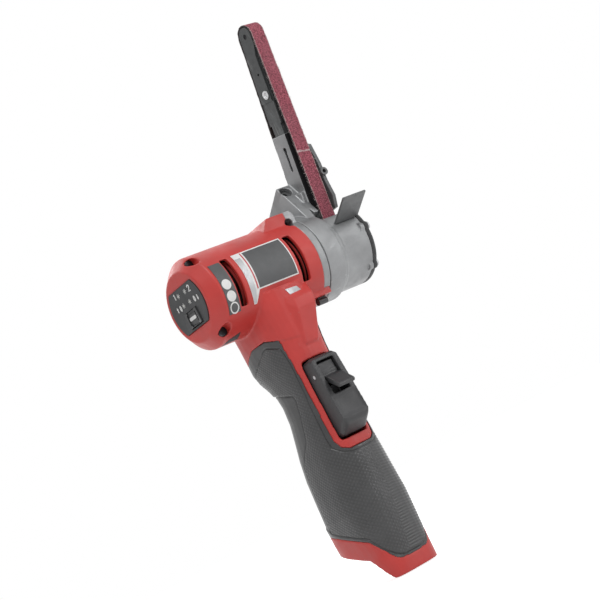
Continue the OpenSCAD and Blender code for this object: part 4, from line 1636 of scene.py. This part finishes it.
    def build(self, paints: Paints) -> None:
        """Make the control pieces.

        Args:
            paints: The tool's finishes.
        """
        machined("panel_plate", "mode_panel", paints.panel, 0.3, "base", "black_plastic")
        settle(self.cap(paints), "button", "black_plastic", "mode_button")
        marks = piece_of("panel_marks", self.marks(), paints.ink_white)
        settle(thickened(marks, self.ink), "base", "label_film")
        settle(piece_of("button_bar", self.bar(), paints.ink_white), "button", "label_film")
        dress(paints.lamp, "mode_leds")
        settle(self.pad(paints), "paddle", "black_plastic", "paddle")
        lever = softened("lock_body", "lock_lever", paints.control, self.lever_grain, self.lever_rounds)
        settle(lever, "lock", "black_plastic", "lock_lever")


@dataclass
class Head:
    """Gear case nose, arm casting and what is screwed to them."""

    grain: float = 0.4
    rounds: int = 3
    keep: float = 0.5
    lens_x: float = 0.0325
    collar: Pair = (19.2, 20.7)
    shoulder_x: float = 35.5
    play: float = 0.3
    cover_head: float = 2.3
    bracket_head: float = 2.2

    def ease(self, nose: bpy.types.Object) -> None:
        """Draw the collar in a little, so that the head swings freely on it.

        Args:
            nose: The piece made from the gear case.
        """
        for vert in nose.data.vertices:
            arm = Vector((0.0, vert.co.y, vert.co.z - AXIS_HEIGHT * MM))
            if vert.co.x > self.shoulder_x * MM and self.collar[0] < arm.length / MM < self.collar[1]:
                vert.co -= arm.normalized() * self.play * MM

    def build(self, paints: Paints) -> None:
        """Make the cast pieces, the plates, the screws and the lamp.

        Args:
            paints: The tool's finishes.
        """
        nose = softened("nose_casting", "gear_case", paints.cast, self.grain, self.rounds, self.keep)
        self.ease(nose)
        settle(nose, "base", "cast_alloy", "gear_case")
        casting = softened("head_casting", "arm_casting", paints.cast, self.grain, self.rounds, self.keep)
        settle(casting, "arm", "cast_alloy", "arm_casting")
        machined("cover_plate", "drum_cover", paints.dark, 0.35, "arm", "dark_steel")
        machined("cover_seal", "cover_gasket", paints.gasket, 0.3, "arm", "gasket_black")
        machined("flap_plate", "deflector", paints.pressed, 0.25, "arm", "dark_steel")
        machined("bracket_plate", "side_bracket", paints.pressed, 0.5, "arm", "dark_steel", 3)
        for part, girth in (("cover_screw", self.cover_head), ("bracket_screw", self.bracket_head)):
            screws = headed(part + "_set", part + "s", paints.zinc, Vector((1, 0, 0)), girth)
            settle(screws, "arm", "fastener_steel", part + "s")
        dress(paints.pressed, "clamp_screw")
        lamp = bevelled("lamp_body", "work_lamp", paints.black, 0.25)
        lamp.data.materials.append(paints.lamp)
        for face in lamp.data.polygons:
            face.material_index = int(face.center.x > self.lens_x)
        settle(lamp, "base", "black_plastic", "work_lamp")


@dataclass
class BeltArm:
    """Sprung arm inside the abrasive belt."""

    centre: float = 132.5
    drive_r: float = 11.24
    tip_r: float = 6.74
    left: float = BELT_LEFT
    right: float = BELT_RIGHT
    columns: int = 10
    run_rows: int = 60
    drive_rows: int = 32
    tip_rows: int = 24
    depth: float = 0.9
    wear: float = 0.28
    # Points further back than this, in millimetres, form the back run, whose edges get painted shade
    rear_y: float = 3.0
    crease: float = math.radians(40)
    facing_low: Place = (53.7, -5.36, 27.0)
    facing_high: Place = (65.1, -4.9, 72.7)
    facing_edge: float = 0.12
    rivet_head: float = 2.6
    threads: int = 260
    thread_run: Pair = (16.0, 4.0)
    thread_long: Pair = (0.5, 1.5)
    thread_r: Pair = (0.07, 0.02)
    seed: int = 7

    def slope(self) -> float:
        """Work out how far the belt's runs lean towards each other."""
        return math.asin((self.drive_r - self.tip_r) / self.centre)

    def tilt(self) -> Matrix:
        """Give the turn from the arm's own frame, in millimetres, to the frame in metres."""
        turn = Matrix.Rotation(math.radians(ARM_LEAN), 4, "X")
        return Matrix.Translation((0.0, 0.0, AXIS_HEIGHT * MM)) @ turn @ Matrix.Scale(MM, 4)

    def run_on(self, bm: bmesh.types.BMesh, edges: list, step: Vector, count: int) -> list:
        """Carry a row of edges along a straight run.

        Args:
            bm: The bmesh.
            edges: The row.
            step: The whole way.
            count: Number of rows to add.

        Returns:
            The last row.
        """
        for _ in range(count):
            verts, edges = grown(bm, edges)
            bmesh.ops.translate(bm, verts=verts, vec=step / count)
        return edges

    def turn_round(self, bm: bmesh.types.BMesh, edges: list, middle: float, angle: float, count: int) -> list:
        """Carry a row of edges around one pulley.

        Args:
            bm: The bmesh.
            edges: The row.
            middle: Height of the pulley's axis.
            angle: The turn.
            count: Number of rows to add.

        Returns:
            The last row.
        """
        done = bmesh.ops.spin(bm, geom=edges, cent=(0, 0, middle), axis=(1, 0, 0), angle=angle, steps=count,
                              use_merge=False, use_duplicate=False)
        return picked(done["geom_last"], bmesh.types.BMEdge)

    def loop(self) -> bmesh.types.BMesh:
        """Lay the belt's outer face around both pulleys.

        Returns:
            The face, in the arm's own frame and in millimetres.
        """
        bm = bmesh.new()
        slope = self.slope()
        first = math.pi - slope
        spot = Vector((0.0, self.drive_r * math.cos(first), self.drive_r * math.sin(first)))
        wide = (self.right - self.left) / self.columns
        row = [bm.verts.new(spot + Vector((self.left + i * wide, 0, 0))) for i in range(self.columns + 1)]
        edges = [bm.edges.new(pair) for pair in zip(row, row[1:])]
        run = self.centre * math.cos(slope)
        up = Vector((0.0, -math.sin(slope), math.cos(slope)))
        down = Vector((0.0, -math.sin(slope), -math.cos(slope)))
        edges = self.turn_round(bm, edges, 0.0, math.pi + 2 * slope, self.drive_rows)
        edges = self.run_on(bm, edges, run * up, self.run_rows)
        edges = self.turn_round(bm, edges, self.centre, math.pi - 2 * slope, self.tip_rows)
        self.run_on(bm, edges, run * down, self.run_rows)
        bmesh.ops.remove_doubles(bm, verts=bm.verts, dist=0.02)
        bmesh.ops.recalc_face_normals(bm, faces=bm.faces)
        return bm

    def belt(self, paints: Paints) -> None:
        """Make the belt with uneven edges, and mark its back run for the painted shade on its edges.

        Args:
            paints: The tool's finishes.
        """
        bm = self.loop()
        chance = random.Random(self.seed)
        for vert in bm.verts:
            if min(vert.co.x - self.left, self.right - vert.co.x) < 0.01:
                inwards = self.left + self.right - 2 * vert.co.x
                vert.co.x += math.copysign(chance.uniform(0.0, self.wear), inwards)
        piece = piece_of("belt_loop", bm, paints.grit)
        piece.data.materials.append(paints.cloth)
        wall = piece.modifiers.new("wall", "SOLIDIFY")
        wall.thickness = self.depth
        wall.offset = -1.0
        wall.material_offset = 1
        wall.material_offset_rim = 1
        baked(piece)
        # Mask of the back run, where the belt's edges are painted dark as shade
        rear_shade = [1.0 if v.co.y > self.rear_y else 0.0 for v in piece.data.vertices]
        travel = [v.co.z * MM if v.co.y < 0.0 else 1.0 for v in piece.data.vertices]
        for name, values in (("rear_shade", rear_shade), ("travel", travel)):
            piece.data.attributes.new(name, "FLOAT", "POINT").data.foreach_set("value", values)
        piece.data.transform(self.tilt())
        settle(shaded(piece, self.crease), "arm", "abrasive_belt", "belt")

    def fray(self, paints: Paints) -> None:
        """Let short threads stand out from the edges of the front run.

        Args:
            paints: The tool's finishes.
        """
        chance = random.Random(self.seed + 1)
        slope = self.slope()
        bm = bmesh.new()
        for _ in range(self.threads):
            edge, out = chance.choice(((self.left + 0.2, -1.0), (self.right - 0.2, 1.0)))
            level = chance.uniform(self.thread_run[0], self.centre - self.thread_run[1])
            size = chance.uniform(*self.thread_long)
            turn = Matrix.Rotation(out * math.pi / 2 + chance.uniform(-0.8, 0.8), 4, "Y")
            turn = Matrix.Rotation(chance.uniform(-0.5, 0.5), 4, "Z") @ turn
            depth = self.drive_r / math.cos(slope) - level * math.tan(slope) - chance.uniform(0.1, 0.7)
            root = Matrix.Translation((0, 0, size / 2 - 0.1))
            spot = Matrix.Translation((edge, -depth, level)) @ turn @ root
            bmesh.ops.create_cone(bm, cap_ends=True, segments=4, radius1=self.thread_r[0],
                                  radius2=self.thread_r[1], depth=size, matrix=spot)
        bmesh.ops.transform(bm, matrix=self.tilt(), verts=bm.verts)
        settle(piece_of("belt_threads", bm, paints.thread), "arm", "abrasive_belt")

    def facing(self) -> bmesh.types.BMesh:
        """Make the thin black facing on the front of the tongue, under the platen.

        Returns:
            The facing, in the frame.
        """
        bm = bmesh.new()
        bmesh.ops.create_cube(bm, size=1.0)
        low, high = Vector(self.facing_low), Vector(self.facing_high)
        bmesh.ops.scale(bm, verts=bm.verts, vec=high - low)
        bmesh.ops.translate(bm, verts=bm.verts, vec=(low + high) / 2)
        bevel(bm, bm.edges[:], self.facing_edge, 2)
        bmesh.ops.transform(bm, matrix=self.tilt(), verts=bm.verts)
        return bm

    def build(self, paints: Paints) -> None:
        """Make the arm pieces and the belt.

        Args:
            paints: The tool's finishes.
        """
        machined("arm_slide_bar", "arm_bar", paints.dark, 0.3, "belt_arm", "dark_steel")
        for node in ("near_cheek", "far_cheek"):
            machined(node + "_plate", node, paints.dark, 0.25, "belt_arm", "dark_steel")
        machined("platen_plate", "platen", paints.graphite, 0.25, "belt_arm", "dark_steel")
        rivets = headed("rivet_set", "cheek_screws", paints.steel, Vector((-1, 0, 0)), self.rivet_head)
        settle(rivets, "belt_arm", "fastener_steel", "cheek_screws")
        dress(paints.steel, "tip_pulley")
        # Black oxide, which also stands in for painted shade in the slot and the hub around these pins
        dress(paints.oxide, "tip_axle", "stop_pin")
        settle(piece_of("tongue_facing", self.facing(), paints.graphite), "arm", "gasket_black")
        self.belt(paints)
        self.fray(paints)


@dataclass
class Works:
    """Pieces inside the shells, most of them out of sight."""

    coil_keep: float = 0.6
    leaf_keep: float = 0.5

    def spring(self, piece: bpy.types.Object, axis: Vector) -> None:
        """Give a spring its own copy of its mesh.

        Args:
            piece: The spring.
            axis: The way from its foot to its free end.
        """
        foot = min((vert.co for vert in piece.data.vertices), key=axis.dot)
        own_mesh(piece)

    def build(self, paints: Paints) -> None:
        """Dress the inner pieces and make the springs.

        Args:
            paints: The tool's finishes.
        """
        coil = faced(piece_of("arm_coil", merged("tension_spring"), paints.steel))
        settle(coil, "arm", "spring_steel", "tension_spring")
        tilt = math.radians(ARM_LEAN)
        self.spring(coil, Vector((0.0, -math.sin(tilt), math.cos(tilt))))
        leaf = faced(piece_of("paddle_leaf", merged("paddle_spring"), paints.steel))
        settle(leaf, "base", "spring_steel", "paddle_spring")
        self.spring(leaf, Vector((0.0, -1.0, 0.0)))
        # The motor iron is kept very dark, partly as painted shade seen through the cooling slots
        dress(paints.iron, "stator", "rotor", "motor_plate")
        dress(paints.steel, "rear_bearing", "front_bearing", "spindle_bearing", "ring_gear", "sun_pinion",
              "planet_gear_a", "planet_gear_b", "planet_gear_c", "carrier", "paddle_pin", "lock_pin")
        dress(paints.zinc, "pulley_screw")
        dress(paints.board, "control_board")
        dress(paints.black, "fan", "switch_box", "terminal_block")
        dress(paints.gasket, "drive_pulley")
        dress(paints.brass, "terminal_blades")


def main() -> None:
    """Build the studio and the tool, sub-assembly by sub-assembly."""
    logging.basicConfig(level=logging.INFO, format="%(message)s")
    Studio().build()
    paints = Paints()
    for part in (Housing(), Labels(), Grip(), Controls(), Head(), BeltArm(), Works()):
        part.build(paints)
        LOG.info("%s is done", type(part).__name__)


if __name__ == "__main__":
    main()
